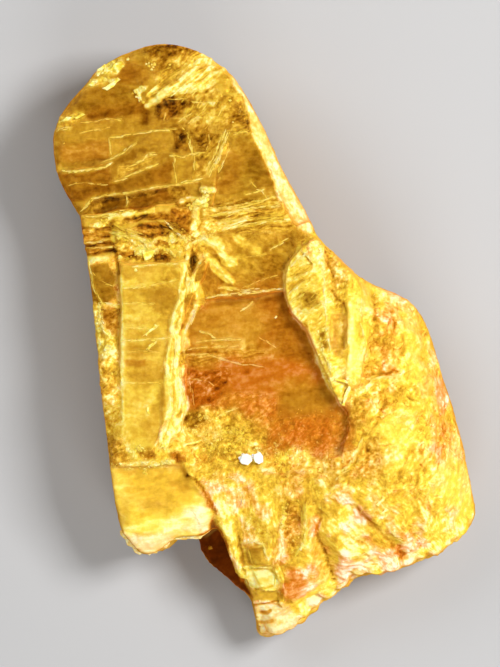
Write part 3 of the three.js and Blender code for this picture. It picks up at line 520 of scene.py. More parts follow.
    Zone(Tone.WHITE, SATIN, 0.2, xy(-2.2, -19, 0.4, -19, 1.3, -20.2, 1.3, -20.9, -1.8, -20.8)),
    Zone(Tone.GOLD, SATIN, 0.2, xy(-1.8, -20.9, 1.2, -20.8, 1.2, -21.9, -1.5, -22.2)),
    Zone(Tone.CHALK, SATIN, 0.4, xy(-1, -22.3, 1.3, -22, 2, -22.2, 3, -23.6, 1.3, -25.6, -1, -25.6)),
    Zone(Tone.CARAMEL, CRUMB, 0.6, xy(1.7, -13.2, 3.1, -13.7, 3.2, -16.6, 2.3, -17.9, 1.4, -16.8)),
    Zone(Tone.CARAMEL, FIBRE, 1.2, xy(1.1, -22.1, 1.2, -19, 2.2, -17.8, 3.3, -18.2, 3.8, -20.2, 2.3, -22)),
    Zone(Tone.PEACH, FIBRE, 1.4, xy(2.8, -16.4, 4.2, -16.4, 5.3, -18.4, 5.8, -20.2, 4.4, -20.7, 2.8, -19.8)),
    Zone(Tone.ORANGE, FIBRE, 0.7, xy(4, -13.8, 4.9, -14.2, 4.7, -16, 5.8, -19.2, 5.8, -20.3, 4.7, -19,
         3.8, -16.4)),
    Zone(Tone.CREAM, FIBRE, 1, xy(2.4, -22.4, 5.2, -20.3, 6.7, -20.5, 5.8, -22.8, 3.9, -23.8)),
    Zone(Tone.IVORY, FIBRE, 0.7, xy(6.5, -13, 8.4, -14.8, 9.3, -16.2, 8.6, -17.6, 7.6, -19.8, 6.7, -20,
         6.3, -16.6)),
    Zone(Tone.PEACH, FIBRE, 0.5, xy(7.3, -13.4, 8.3, -13.8, 10.1, -15.9, 11.5, -17.3, 10.3, -17.5,
         9.1, -16.3)),
    Zone(Tone.PEACH, FIBRE, 0.7, xy(7.8, -16.4, 9, -16.2, 12, -17.8, 11.8, -18.8, 10.3, -18, 8.9, -17.2)),
    Zone(Tone.CHALK, FIBRE, 0.9, xy(8, -17.7, 9.6, -17.2, 11.4, -18.6, 10.5, -19.8, 8, -20.2)),
    Zone(Tone.IVORY, FIBRE, 0.5, xy(12.6, -13.1, 13.4, -13, 14, -15, 13.6, -15.8)),
    Zone(Tone.IVORY, FIBRE, 0.8, xy(11.8, -17, 13.5, -16.9, 13.5, -18.9, 12, -19)),
    Zone(Tone.CHESTNUT, SMOOTH, 0.3, xy(-4.4, -14.4, -2.8, -18.2, -1.3, -21.9, -2.5, -22, -5, -20,
         -7.2, -17.6, -6.2, -16.5, -4.6, -15.8)),
)
MASS_TONE = Tone.PALE_GOLD  # where there is no zone
WALL_TONE = Tone.HONEY  # on the side walls


@dataclass(frozen=True)
class Line:
    """A lip, crack or vein on the upper face.

    Attributes:
        depth: How deep the tone looks along it: below 1 paler than the stone about it, above 1 darker.
        width: Its width in millimetres.
        lift: How far it stands up, or is cut in when negative, in millimetres.
        broken: How much of it is missing, from 0 to 1.
        path: The points it runs through, in plan, in millimetres.
    """

    depth: float
    width: float
    lift: float
    broken: float
    path: Path


# Where a pale line is the edge of a cleavage step, its paleness is partly the fractured mineral and partly
# painted highlight, where the edge catches the light.
LINES: tuple[Line, ...] = (
    # The lobe: broken cracks along the strike, and the ones across them.
    Line(0.22, 0.22, 0.08, 0.1, xy(-13, 16.9, -11.6, 17.1, -10.2, 17.35, -9, 17.5, -7.6, 17.6)),
    Line(0.45, 0.16, 0.05, 0.5, xy(-15.5, 17.3, -14.2, 17.6, -13, 17.75)),
    Line(0.4, 0.2, 0.05, 0.4, xy(-15.2, 18.2, -14, 18.3, -13.2, 18.5, -12, 18.4)),
    Line(0.25, 0.22, 0.06, 0.2, xy(-17.4, 17.6, -16.8, 17.75, -16.2, 17.8)),
    Line(1.5, 0.6, -0.05, 0.3, xy(-14.7, 18.7, -12.5, 18.95, -11.3, 19.2)),
    Line(1.4, 0.7, -0.05, 0.2, xy(-10.2, 19.3, -10.2, 18.8, -10.1, 18.2)),
    Line(0.25, 0.18, 0.05, 0.1, xy(-13, 16.7, -12.95, 15.9, -12.8, 15.2)),
    Line(0.2, 0.22, 0.08, 0.1, xy(-13.4, 14.9, -12.6, 15.25, -11.6, 15.9, -10.8, 16.4)),
    Line(1.8, 0.25, -0.05, 0.3, xy(-15.2, 14.65, -13.9, 15, -13.2, 15.2)),
    Line(0.2, 0.3, 0.1, 0.15, xy(-17.3, 14.3, -16.5, 14.1, -15.3, 14.15, -14.2, 14.3, -13.5, 14.4,
         -12.9, 14.8)),
    Line(0.25, 0.25, 0.1, 0.1, xy(-12.9, 13.15, -11.9, 13.4, -11, 13.9, -10, 14.3, -9.2, 14.6)),
    Line(0.3, 0.2, 0.08, 0.3, xy(-11.6, 14.4, -10.3, 15, -9.8, 15.6, -9.2, 15.5)),
    Line(0.3, 0.22, 0.08, 0.1, xy(-14.5, 11.8, -13.3, 12.1, -12, 12.25, -10.5, 12.5, -9, 12.8, -7.5, 12.95,
         -5.6, 13.4)),
    Line(1.6, 0.3, -0.06, 0.2, xy(-14.3, 11.5, -12, 11.95, -9, 12.45, -6.8, 12.7)),
    Line(0.3, 0.18, 0.05, 0.1, xy(-11.6, 12.1, -11.5, 11.5, -11.65, 11.1)),
    Line(0.25, 0.25, 0.08, 0.1, xy(-15.3, 10.9, -15, 11.2, -14.4, 11.8)),
    Line(0.25, 0.25, 0.08, 0.2, xy(-15.2, 10.35, -14, 10.4, -13, 10.5, -12.4, 10.7, -11.2, 10.9)),
    Line(0.4, 0.18, 0.05, 0.4, xy(-16.4, 13, -15, 13.1, -13.2, 13)),
    Line(0.35, 0.2, 0.06, 0.2, xy(-7.9, 15.4, -7, 15.3, -6.2, 15.5, -5, 15.75)),
    Line(0.35, 0.18, 0.06, 0.2, xy(-7.65, 15.4, -7.6, 14.2, -7.5, 13.3)),
    Line(0.35, 0.2, 0.06, 0.2, xy(-6, 15.4, -5.95, 14.1)),
    Line(0.3, 0.22, 0.06, 0.2, xy(-7, 17.8, -6.5, 17.2, -6.3, 16.6, -6.2, 15.8)),
    Line(0.4, 0.18, 0.06, 0.2, xy(-4.8, 17.2, -4.7, 16.6, -4.9, 15.9)),
    Line(0.3, 0.2, 0.06, 0.2, xy(-2.6, 17.1, -2.3, 17.3, -1.7, 17.45, -1.1, 17.2)),
    Line(0.25, 0.3, 0.1, 0.2, xy(-3.3, 17.2, -3.6, 16.3, -3.9, 15.4, -4.2, 14.6, -4.7, 13.9)),
    Line(0.35, 0.22, 0.08, 0.3, xy(-3.7, 17, -4.1, 15.9, -4.5, 15, -5.2, 13.8)),
    Line(0.35, 0.2, 0.06, 0.3, xy(-3.05, 15.9, -3.5, 15, -3.9, 14.2)),
    Line(0.3, 0.18, 0.06, 0.2, xy(-7.4, 18.2, -6.7, 18.65, -6.2, 18.9)),
    Line(0.35, 0.16, 0.05, 0.2, xy(-8.5, 18.4, -8.3, 19, -8.2, 19.3)),
    Line(0.4, 0.2, 0.05, 0.4, xy(-8.3, 20.1, -7, 20.1, -5.6, 19.8, -4.3, 19.9)),
    Line(0.35, 0.2, 0.05, 0.3, xy(-6.4, 18.2, -5.8, 18.6, -5.4, 18.6)),
    Line(0.25, 0.2, 0.06, 0.2, xy(-1.3, 13.3, -0.8, 12.7, -0.3, 12.5, -0.1, 12.1)),
    Line(0.3, 0.2, 0.06, 0.2, xy(-1.8, 12.2, -1, 12.3, -0.2, 12.6)),
    # The plume's strands, and the grooves between them.
    Line(0.1, 0.45, 0.08, 0, xy(-9.9, 19.6, -8.8, 20.1, -8, 20.6, -7, 21, -6.2, 21.4, -5.2, 22.1,
         -4.3, 22.9)),
    Line(0.2, 0.5, 0.08, 0.1, xy(-8.3, 20.9, -7.4, 21.5, -6.6, 22.2, -5.6, 23.1)),
    Line(0.2, 0.4, 0.08, 0.1, xy(-7.2, 21.9, -6.4, 22.7, -5.4, 23.4, -4.6, 23.5)),
    Line(0.1, 0.5, 0.08, 0, xy(-6.6, 21, -5.4, 21.4, -4.4, 22, -3.3, 22.7)),
    Line(0.3, 0.35, 0.06, 0.2, xy(-6, 20.8, -5, 21, -4.2, 21.6)),
    Line(1.7, 0.16, -0.05, 0.2, xy(-8, 21.2, -7, 22.1, -6, 22.9)),
    Line(1.5, 0.14, -0.05, 0.2, xy(-7.2, 21.2, -6, 22.1, -5, 23)),
    Line(1.7, 0.16, -0.05, 0.2, xy(-6.6, 21.3, -5.4, 21.8, -4.2, 22.6)),
    Line(1.5, 0.16, -0.05, 0.2, xy(-5.9, 21.1, -4.8, 21.5, -4, 22.2)),
    # The neck.
    Line(0.3, 0.25, 0.08, 0.2, xy(-5.2, 10.9, -3.5, 11.1, -1.5, 11.5, 0.7, 11.9)),
    Line(0.25, 0.28, 0.08, 0.2, xy(-4, 10.55, -2.5, 10.8, -1, 11.1, 1, 11.2)),
    Line(0.2, 0.2, 0.08, 0, xy(-3.2, 9.35, -1, 9.8, 0.5, 9.95, 2, 10.05)),
    Line(1.9, 0.3, -0.08, 0.3, xy(-4.8, 11.25, -3, 11.3, -1.2, 11.7)),
    Line(1.8, 0.3, -0.08, 0.3, xy(-4.2, 10.2, -2.2, 10.35, -0.2, 10.6)),
    Line(1.7, 0.25, -0.06, 0.2, xy(-2.4, 9.25, 0.2, 9.55, 1.8, 9.6)),
    Line(0.15, 0.5, 0.15, 0, xy(-5.85, 11, -5.9, 10.2, -6, 9.4, -5.9, 8.8)),
    Line(0.2, 0.3, 0.1, 0, xy(-6.2, 8, -5.5, 8.4, -5, 8.7)),
    Line(2, 0.2, -0.1, 0.1, xy(-15.2, 9.35, -13.9, 9.25, -12.8, 9.45)),
    Line(1.7, 0.2, -0.08, 0.1, xy(-15.2, 8.75, -14, 8.7, -12.9, 8.8)),
    Line(0.3, 0.22, 0.06, 0, xy(-15.2, 8.2, -14.2, 8.2, -13, 8.5)),
    Line(1.8, 0.2, -0.08, 0.1, xy(-15.2, 7.95, -14, 8, -12.8, 8.1)),
    Line(0.45, 0.25, 0.05, 0.1, xy(-15.2, 7.7, -14, 7.75, -12.6, 7.8)),
    Line(2.1, 0.3, -0.1, 0, xy(-15.2, 7.15, -13.8, 7.3, -12.7, 7.5)),
    Line(1.9, 0.2, -0.08, 0.2, xy(-10.6, 9.6, -9.4, 9.5, -8.1, 9.55)),
    Line(1.9, 0.2, -0.08, 0.2, xy(-10.5, 8.85, -9.2, 8.85, -8, 9)),
    Line(1.6, 0.4, -0.06, 0.3, xy(-11.6, 6.85, -10.5, 6.95, -9, 6.8, -7.6, 7.1)),
    Line(0.2, 0.25, 0.1, 0.1, xy(-11, 6.15, -9.4, 6.35, -8, 6.4, -6.6, 6.5)),
    Line(2.2, 0.22, -0.06, 0, xy(-12.5, 7.4, -12.45, 6.6, -12.2, 5.6)),
    Line(1.8, 0.7, -0.05, 0.2, xy(-6.3, 7.4, -6.1, 6.6, -6.2, 5.6)),
    Line(0.1, 0.24, 0.1, 0, xy(-8.3, 9.9, -7.7, 9.3, -7.1, 8.8, -6.6, 8.3)),
    Line(0.1, 0.2, 0.08, 0, xy(-8.1, 7.6, -7.7, 7.2, -7.5, 7)),
    Line(1.8, 0.18, -0.08, 0, xy(-12.9, 9.75, -12, 9.2, -11, 8.6, -10.2, 8)),
    Line(1.7, 0.16, -0.06, 0.1, xy(-12.4, 8.3, -11.4, 8.2, -10.8, 7.9)),
    Line(1.8, 0.2, -0.08, 0.1, xy(-13, 9.9, -12.2, 10.1, -11, 10.3, -9.4, 10.4)),
    Line(1.7, 0.2, -0.08, 0.2, xy(-8.4, 8.2, -7.8, 8, -7.2, 8.1)),
    # The knot's strands and the two long splinters.
    Line(0.1, 0.45, 0.15, 0, xy(-7, 11.6, -6.3, 11.8, -5.6, 11.7, -5, 11.8)),
    Line(0.1, 0.45, 0.15, 0, xy(-5.3, 12.6, -4.8, 12.5, -4.4, 12.5)),
    Line(0.4, 0.34, 0.14, 0, xy(-5, 8.5, -4.2, 8, -3.4, 7.3, -2.6, 6.7)),
    Line(0.4, 0.34, 0.14, 0, xy(-5, 7.1, -4.2, 6.5, -3.5, 5.8, -2.8, 5)),
    Line(1.8, 0.5, -0.08, 0, xy(-4.5, 7.2, -4, 7.1, -3.7, 6.6)),
    Line(0.1, 0.4, 0.08, 0, xy(-5.8, 8.25, -5.4, 8.5, -5, 8.6)),
    Line(0.2, 0.35, 0.06, 0, xy(-2.9, 9.5, -2.3, 9.9, -1.7, 10.3)),
    # The floor above the hollow, and its ledge.
    Line(0.5, 0.16, 0.04, 0.4, xy(-1.9, 4.4, -0.6, 5, 0.8, 5.5)),
    Line(0.55, 0.16, 0.04, 0.4, xy(-2.4, 6.9, -1, 7, 0.2, 7.3)),
    Line(0.25, 0.16, 0.06, 0, xy(0.3, 7.6, 1.2, 8.1, 1.8, 8.5)),
    Line(0.22, 0.28, 0.06, 0, xy(-4.9, 3.6, -4, 3.8, -2.5, 3.92, -1, 4.05, 0.3, 4.2, 1.6, 4.35)),
    Line(0.3, 0.2, 0.05, 0.3, xy(-3.9, 4.45, -3, 4.3, -1.8, 4.2, -0.5, 4.4)),
    # The margin and the column.
    Line(0.15, 0.22, 0.08, 0.1, xy(-14.7, 6.4, -14.55, 5.4, -14.3, 4.3, -13.7, 3.2, -12.6, 3, -12.2, 3.1)),
    Line(0.4, 0.14, 0.03, 0.4, xy(-14.2, 5.6, -13.6, 4.9, -12.7, 4.6)),
    Line(0.15, 0.22, 0.08, 0.2, xy(-13.9, 2.9, -13.8, 1.8, -13.5, 0.8, -12.8, 0.2)),
    Line(0.1, 0.32, 0.03, 0, xy(-11.95, 5.4, -11.95, 2, -11.95, -2, -11.85, -7, -11.45, -8.6, -10.8, -9.6)),
    Line(0.75, 0.5, 0, 0.1, xy(-11.6, 5, -11.6, -4, -11.4, -7.5)),
    Line(0.35, 0.2, 0.04, 0.1, xy(-12.1, 0, -10.5, 0.1, -8.2, 0.2)),
    Line(0.4, 0.16, 0.03, 0.2, xy(-11.9, -3.5, -10.2, -3.45, -8.5, -3.45)),
    Line(0.6, 0.16, 0.03, 0.3, xy(-12, 3.1, -10.4, 3.15, -8.8, 3.1)),
    Line(0.55, 0.16, 0.03, 0.3, xy(-11.5, -0.9, -10, -0.85, -8.6, -0.9)),
    Line(0.55, 0.2, 0.03, 0.3, xy(-11.5, 1.15, -10, 1.1)),
    Line(0.6, 0.2, 0.02, 0.3, xy(-11.8, 4.4, -9.5, 4.6, -7.4, 5.1)),
    Line(0.2, 0.2, 0.06, 0, xy(-10, 0.55, -9.5, 0.9, -9, 1.3)),
    Line(0.2, 0.26, 0.06, 0, xy(-9.8, -0.6, -9.3, -0.15)),
    Line(0.3, 0.35, 0.03, 0, xy(-9.85, -5.5, -9.8, -6.1)),
    Line(1.7, 0.2, -0.05, 0.2, xy(-11.9, -6.9, -11.7, -7.6, -11.3, -8.4)),
    Line(1.6, 0.28, -0.06, 0, xy(-7.7, -2.4, -7.65, -3.3)),
    Line(1.6, 0.2, -0.06, 0, xy(-7.25, -1.5, -7.15, -2.1)),
    Line(1.5, 0.22, -0.06, 0, xy(-7.3, -2.8, -7.25, -4)),
    Line(1.9, 0.4, -0.06, 0.2, xy(-7.4, -9.6, -6.9, -10.5, -6.6, -11.2)),
    # The strands of the torn edge.
    Line(0.1, 0.36, 0.1, 0, xy(-6.3, 8, -6.5, 7.2, -6.7, 6.2, -6.9, 5, -7, 4.2, -7.1, 3.6, -7.3, 3, -7.6, 2.3,
         -7.8, 1.6, -7.8, 0.9)),
    Line(0.3, 0.34, 0.08, 0.1, xy(-6.5, 6.8, -6.4, 5.9, -6.5, 5.2)),
    Line(0.1, 0.32, 0.1, 0, xy(-5.4, 6.5, -5.9, 5.6, -6.2, 5, -6.4, 4.5, -6.8, 3.9, -7, 3.4, -7.3, 2.7)),
    Line(0.2, 0.32, 0.08, 0.1, xy(-7, 3.7, -7, 3, -6.95, 2.2, -7.1, 1.4, -7.2, 0.7, -7.3, 0.2)),
    Line(0, 0.36, 0.12, 0, xy(-5.7, 4.6, -5.75, 4.2, -5.65, 3.8, -5.7, 3.1, -5.9, 2.7, -6.1, 2.3, -6.3, 1.7,
         -6.6, 1.1, -6.9, 0.5, -7.1, 0.1)),
    Line(0.1, 0.6, 0.06, 0, xy(-7.6, 0.8, -7.5, 0, -7.4, -0.6)),
    Line(0.2, 0.6, 0.1, 0, xy(-6.8, 0.2, -6.7, -0.4, -6.9, -0.7)),
    Line(0.1, 0.4, 0.1, 0, xy(-7.3, -0.5, -7.4, -1.5, -7.5, -2.2, -7.4, -3, -7.35, -3.9, -7.2, -4.8,
         -7.1, -5.6)),
    Line(0.25, 0.45, 0.06, 0.1, xy(-7.9, -0.2, -8.1, -1.2, -8.2, -2, -8.2, -3, -8.1, -4.2, -8.1, -5.4,
         -8.3, -6.4)),
    Line(0.2, 0.35, 0.08, 0, xy(-7, -3.3, -6.9, -4, -6.9, -4.8)),
    Line(0, 0.45, 0.12, 0, xy(-6.6, -4.7, -6.7, -5.3, -6.8, -6, -7, -6.4, -7.4, -6.6, -7.6, -7.1, -7.8, -7.6,
         -8.1, -8.2, -8.4, -8.8)),
    Line(0, 0.34, 0.12, 0, xy(-7.1, -6.6, -7.05, -7.4, -6.85, -7.9)),
    Line(0.2, 0.4, 0.06, 0.1, xy(-8.2, -6.8, -8.6, -7.6, -8.8, -8.3)),
    Line(0, 0.4, 0.06, 0, xy(-7.3, -1.2, -7.1, -1.4)),
    Line(2, 0.13, -0.08, 0, xy(-6.7, 5.6, -6.75, 5, -6.85, 4.3)),
    Line(2, 0.14, -0.08, 0, xy(-7, 3.2, -7.15, 2.8, -7.4, 2.4)),
    Line(1.9, 0.14, -0.08, 0, xy(-7.2, 2, -7.35, 1.6, -7.5, 1.1)),
    Line(1.8, 0.14, -0.08, 0, xy(-6.9, 1.3, -7.05, 0.9, -7.15, 0.6)),
    Line(1.7, 0.14, -0.08, 0.1, xy(-7.75, 0.1, -7.85, -0.7, -8, -1.6, -7.95, -2.6)),
    Line(1.7, 0.14, -0.08, 0.1, xy(-7.7, -3.6, -7.6, -4.6, -7.6, -5.6, -7.8, -6.4)),
    Line(1.8, 0.14, -0.08, 0.1, xy(-6.95, -5.2, -7.1, -5.9, -7.4, -6.2)),
    Line(1.6, 0.14, -0.06, 0.1, xy(-8, -6.6, -8.2, -7.4, -8.5, -8.2)),
    Line(2, 0.3, -0.1, 0, xy(-7, -1.1, -7.05, -1.9)),
    # The block.
    Line(0.2, 0.25, 0.08, 0.2, xy(-9.6, -10.4, -8.8, -10.2, -7.8, -10.05)),
    Line(2.3, 0.26, -0.12, 0, xy(-6.5, -11.2, -5.8, -11.6, -5.3, -12.3, -4.9, -13.2, -4.3, -14.3)),
    Line(0.3, 0.35, 0.04, 0.1, xy(-12.3, -15.8, -10.5, -15.4, -8.5, -15, -6.5, -14.6)),
    Line(1.4, 0.3, -0.03, 0.3, xy(-11.2, -16.1, -9.8, -16.2, -8.6, -15.9)),
    Line(0.4, 0.2, 0.03, 0.4, xy(-6.3, -13.9, -5.6, -15, -5.4, -16)),
    # The hollow.
    # A dark band painted just under the hollow's top ledge: painted shadow.
    Line(1.5, 0.9, 0, 0, xy(-4, 3.3, -2, 3.5, 0, 3.7, 1.6, 3.8)),
    Line(1.9, 0.16, -0.05, 0, xy(-7, -0.98, -5, -0.82, -3.4, -0.75)),
    Line(0.5, 0.2, 0.03, 0.1, xy(-6.8, -1.2, -5, -1.05, -3.6, -1.5, -2, -1.95, -0.4, -2.1)),
    Line(0.55, 0.2, 0.03, 0.3, xy(-6.4, -0.6, -4.6, -0.5, -2.2, -0.4)),
    Line(0.55, 0.25, 0.02, 0.3, xy(-6, -0.1, -4, 0.1, -1.8, 0.1)),
    Line(0.4, 0.3, 0.03, 0.2, xy(-5.4, 0.85, -4.9, 0.65, -4.3, 0.4)),
    Line(0.45, 0.35, 0.02, 0, xy(-2, -0.2, -1.85, -0.75)),
    Line(0.5, 0.3, 0.03, 0.1, xy(-1.9, 2.6, -1.5, 2.9, -1.1, 3.3)),
    Line(0.6, 0.25, 0.03, 0.4, xy(-0.8, 0.4, 0.3, -0.2, 1, -0.6)),
    Line(1.5, 0.5, -0.02, 0.2, xy(-0.9, 0.6, -0.4, 0.1, -0.6, -0.5)),
    Line(1.7, 0.35, 0, 0, xy(-2, -2.55, -1.5, -2.5)),
    Line(1.6, 0.6, 0, 0.1, xy(-5, -4.9, -4.3, -4.7, -3.6, -4.4)),
    Line(0.5, 0.2, 0.03, 0.3, xy(-6, -3.2, -5, -3.3, -4.4, -3.7)),
    Line(0.45, 0.22, 0.05, 0.2, xy(-4.1, -6.3, -3, -5.8, -2.4, -5.5)),
    Line(0.5, 0.2, 0.04, 0.3, xy(-6.4, -3.2, -6.1, -4.4, -6, -5.2)),
    Line(1.4, 0.3, 0, 0.3, xy(1.4, -4.5, 3.2, -4.2, 5, -3.9)),
    # The shard and the ridge.
    Line(0.3, 0.34, 0.06, 0.1, xy(2.8, 7.7, 2.2, 6.9, 1.75, 6.2, 1.55, 5.2, 1.6, 4, 1.9, 3, 2.5, 1.9,
         3.5, 0.7, 4.1, -0.9, 4.5, -2.1, 5.2, -3.6, 6.1, -5.2)),
    Line(0.15, 0.3, 0.12, 0.1, xy(4.75, 7.6, 4.8, 5.5, 4.85, 4, 4.9, 2.4)),
    Line(0.3, 0.2, 0.06, 0.1, xy(2.9, 7.6, 3.4, 7, 3.9, 6.4)),
    Line(2.1, 0.18, -0.08, 0.1, xy(3.1, 7.1, 3.5, 6.7, 3.8, 6.3)),
    Line(0.2, 0.22, 0.08, 0.2, xy(1.9, 6.1, 2.5, 6.6, 3.1, 7)),
    Line(0.2, 0.25, 0.08, 0.1, xy(2, 4.95, 2.8, 5.4, 3.9, 5.9)),
    Line(1.6, 0.4, -0.08, 0.2, xy(2.2, 5.4, 2.9, 5.8, 3.6, 6.1)),
    Line(0.22, 0.25, 0.08, 0.1, xy(2, 4, 2.6, 4.5, 3.3, 5)),
    Line(1.6, 0.35, -0.08, 0.2, xy(2, 4.4, 2.6, 4.8, 3.4, 5.2)),
    Line(0.25, 0.22, 0.08, 0.2, xy(2, 3.2, 2.6, 3.6, 3, 3.8)),
    Line(0.3, 0.25, 0.06, 0.3, xy(2.6, 2.4, 3.6, 2.5, 4.6, 3.2)),
    Line(0.15, 0.3, 0.1, 0.1, xy(4.6, 0.2, 4.7, -0.9, 5.2, -1.9, 5.6, -2.8)),
    Line(0.2, 0.25, 0.08, 0.2, xy(5, 2.2, 5.05, 1, 5.3, -0.6)),
    Line(1.7, 0.3, -0.1, 0.25, xy(6.65, 2.7, 6.5, 1.7, 6.55, 1.2, 6.35, 0.3, 6.35, -0.6)),
    Line(2, 0.25, -0.1, 0.1, xy(4.95, 7.4, 5.05, 6.8, 5.3, 6, 5.5, 5.3)),
    Line(1.8, 0.3, -0.08, 0.2, xy(5.3, 4.2, 5.8, 3.6, 6.3, 3.2)),
    Line(0.15, 0.5, 0.1, 0.05, xy(6.95, 3.1, 7, 1.5, 6.95, 0, 6.9, -1.6, 6.85, -3)),
    Line(0.3, 0.3, 0.08, 0.3, xy(7.9, 3.5, 7.8, 1.8, 8.2, -0.5, 8.3, -1.8)),
    # The mass: its cracks, its dark nooks and its pale beads.
    Line(2, 0.2, -0.12, 0.1, xy(8.95, 4, 8.9, 3, 8.95, 1.9, 9.25, 1.1)),
    Line(1.8, 0.25, -0.1, 0.2, xy(10.3, 2.5, 10.7, 1.4, 10.3, 0.3)),
    Line(1.7, 0.22, -0.08, 0.3, xy(11.2, 0.6, 11.6, -0.3, 11.3, -1.2)),
    Line(1.8, 0.22, -0.08, 0.3, xy(8, 1.7, 7.6, 1.2, 7.8, 0.4)),
    Line(2, 0.22, -0.12, 0, xy(8, -2.85, 9.5, -2.72, 11, -2.5)),
    Line(0.25, 0.3, 0.06, 0.1, xy(8.2, -3.15, 9.6, -2.98, 10.8, -2.8)),
    Line(1.9, 0.2, -0.1, 0.2, xy(10, -4, 9.8, -5.3, 9.3, -6.2, 9, -7.1)),
    Line(1.7, 0.22, -0.1, 0, xy(11.7, -4, 12, -3.75, 12.4, -3.9, 12.5, -4.4, 12.2, -4.8, 11.8, -4.6)),
    Line(1.7, 0.2, -0.08, 0.2, xy(11.2, -3.9, 11.6, -4.3, 11.9, -4.7)),
    Line(0.25, 0.3, 0.08, 0.2, xy(8, -8.1, 7.6, -8.9, 7.3, -9.8, 6.6, -10.6, 5.8, -11.6)),
    Line(1.7, 0.4, -0.1, 0.3, xy(8.4, -8.6, 8.5, -9.8, 8.4, -10.9)),
    Line(1.8, 0.4, -0.1, 0.1, xy(11.1, -10.8, 11.3, -11.5)),
    Line(1.7, 0.3, -0.08, 0.2, xy(12.8, -9, 12.9, -9.3)),
    Line(1.6, 0.35, -0.1, 0.2, xy(12.5, -10.8, 12.7, -12.2, 13.2, -13.2, 14, -14.6)),
    Line(1.5, 0.3, -0.06, 0.4, xy(5.3, -13.4, 5.2, -12.4, 5.9, -11.4, 6.9, -10.9)),
    Line(1.6, 0.25, -0.08, 0.3, xy(1.7, -11, 1.5, -12)),
    Line(1.6, 0.5, -0.08, 0.4, xy(-1.7, -12.4, -1.2, -13.3, -1.6, -13.9)),
    # The fan.
    Line(2, 0.3, -0.15, 0, xy(-2.35, -16.3, -2.05, -17.8, -1.75, -19.6)),
    Line(0.3, 0.35, 0.1, 0.1, xy(-3.1, -15.2, -2.6, -17.4, -2, -20.2)),
    Line(0.3, 0.3, 0.08, 0.1, xy(-1.9, -16.9, -1, -16.75, -0.2, -17, 0.1, -18.2)),
    Line(1.6, 0.35, -0.05, 0.1, xy(-1.5, -17.35, -1, -17.6, -0.5, -17.5)),
    Line(0.15, 0.3, 0.12, 0, xy(-1.7, -19.05, -0.6, -18.95, 0.4, -19)),
    Line(1.8, 0.16, -0.08, 0.1, xy(-0.9, -20.85, -0.2, -20.75, 0.5, -20.6)),
    Line(2.3, 0.16, -0.12, 0.1, xy(-0.9, -22.25, 0, -22.15, 1, -21.9)),
    Line(2.2, 0.22, -0.1, 0.1, xy(-0.4, -22.9, 0, -22.95, 0.35, -22.75)),
    Line(1.8, 0.18, -0.08, 0.1, xy(-0.5, -23.8, 0, -23.75, 0.5, -23.6)),
    Line(1.3, 0.3, -0.04, 0.2, xy(0.6, -18.3, 1, -19.2, 1.3, -20.4, 1.4, -21.6)),
    Line(1.5, 0.3, -0.1, 0.1, xy(2, -22, 2.6, -22.9, 3.3, -23.5)),
    Line(0.3, 0.4, 0.1, 0.1, xy(1.3, -14.9, 1.3, -16.6, 1.5, -18.6)),
    Line(0.35, 0.3, 0.1, 0.1, xy(3.3, -13.8, 3.4, -15.4, 3.2, -16.8, 2.6, -17.8)),
    Line(2.1, 0.2, -0.18, 0, xy(4.2, -15.9, 4.4, -16.6, 4.85, -17.4, 5.15, -18.5, 5.7, -20.1)),
    Line(1.8, 0.25, -0.12, 0, xy(4.3, -14.1, 4.6, -14.8, 4.2, -15.8)),
    Line(1.7, 0.25, -0.12, 0.1, xy(7.3, -13.6, 8.3, -14.7, 9.3, -15.7, 10.2, -16.6, 11.2, -17.3)),
    Line(1.7, 0.3, -0.1, 0.1, xy(7.8, -16.8, 8.7, -16.4, 9.8, -16.9, 10.8, -17.2, 11.6, -17.9)),
    Line(1.6, 0.25, -0.1, 0.1, xy(7.8, -17.4, 8.6, -18.2, 9.6, -19.2)),
    Line(2, 0.5, -0.1, 0, xy(11.1, -17.7, 11.6, -18.2)),
    Line(1.6, 0.3, -0.12, 0.1, xy(12.2, -15.9, 12.6, -16.6, 13, -17.2)),
    Line(1.6, 0.3, -0.12, 0.1, xy(13.4, -17, 13.6, -18.1)),
    Line(1.6, 0.25, -0.06, 0.2, xy(15, -14.3, 15.1, -14.8)),
    Line(1.6, 0.3, -0.08, 0.2, xy(15, -16.2, 15.5, -16.7, 15.9, -16.9)),
    Line(0.2, 0.3, 0.08, 0, xy(10, -15.2, 10.9, -16.4, 11.6, -17)),
)


# ---- The stone ----


NARROW = 0.3  # millimetres: a bright line up to this width is set with splinters

# Where the mesh is finest: the knot, the torn edge, the plume, the shard, the margin, the neck and the tip.
FINE: tuple[Path, ...] = (
    xy(-7.8, 12.4, -5.6, 13.2, -3.8, 13, -1.6, 10.4, -1.8, 4.6, -4.4, 4.2, -5.4, 6.2, -6.6, 7.6),
    xy(-6.8, 8.2, -5.2, 7, -5.2, 2.6, -6.4, -0.6, -6.4, -8.2, -8.2, -9.2, -9.2, -8.6, -8.6, -4, -7.4, 4),
    xy(-11.4, 21.4, -8.4, 22.9, -5.6, 24.2, -3.2, 23, -4.2, 21, -8, 19.4, -10.8, 19.2),
    xy(2.8, 7.9, 1.3, 6.4, 1.3, 3.4, 3.4, 0.6, 5, -3.8, 6.4, -5.4, 6.8, -2.4, 6.6, 2.4, 5, 7.4),
    xy(-15, 3.4, -12.2, 3.2, -11.8, -1.8, -12.4, -4.6, -14.4, -4.6),
    xy(-15.2, 11, -11.6, 12.4, -7.6, 12.6, -6, 11, -6.2, 6.4, -12.6, 6.2, -15.2, 6.4),
    xy(-2.2, -16.6, 0.6, -16.6, 1.6, -20.8, 3.2, -23.6, 1.2, -25.6, -1.4, -25.6, -1.7, -20),
)


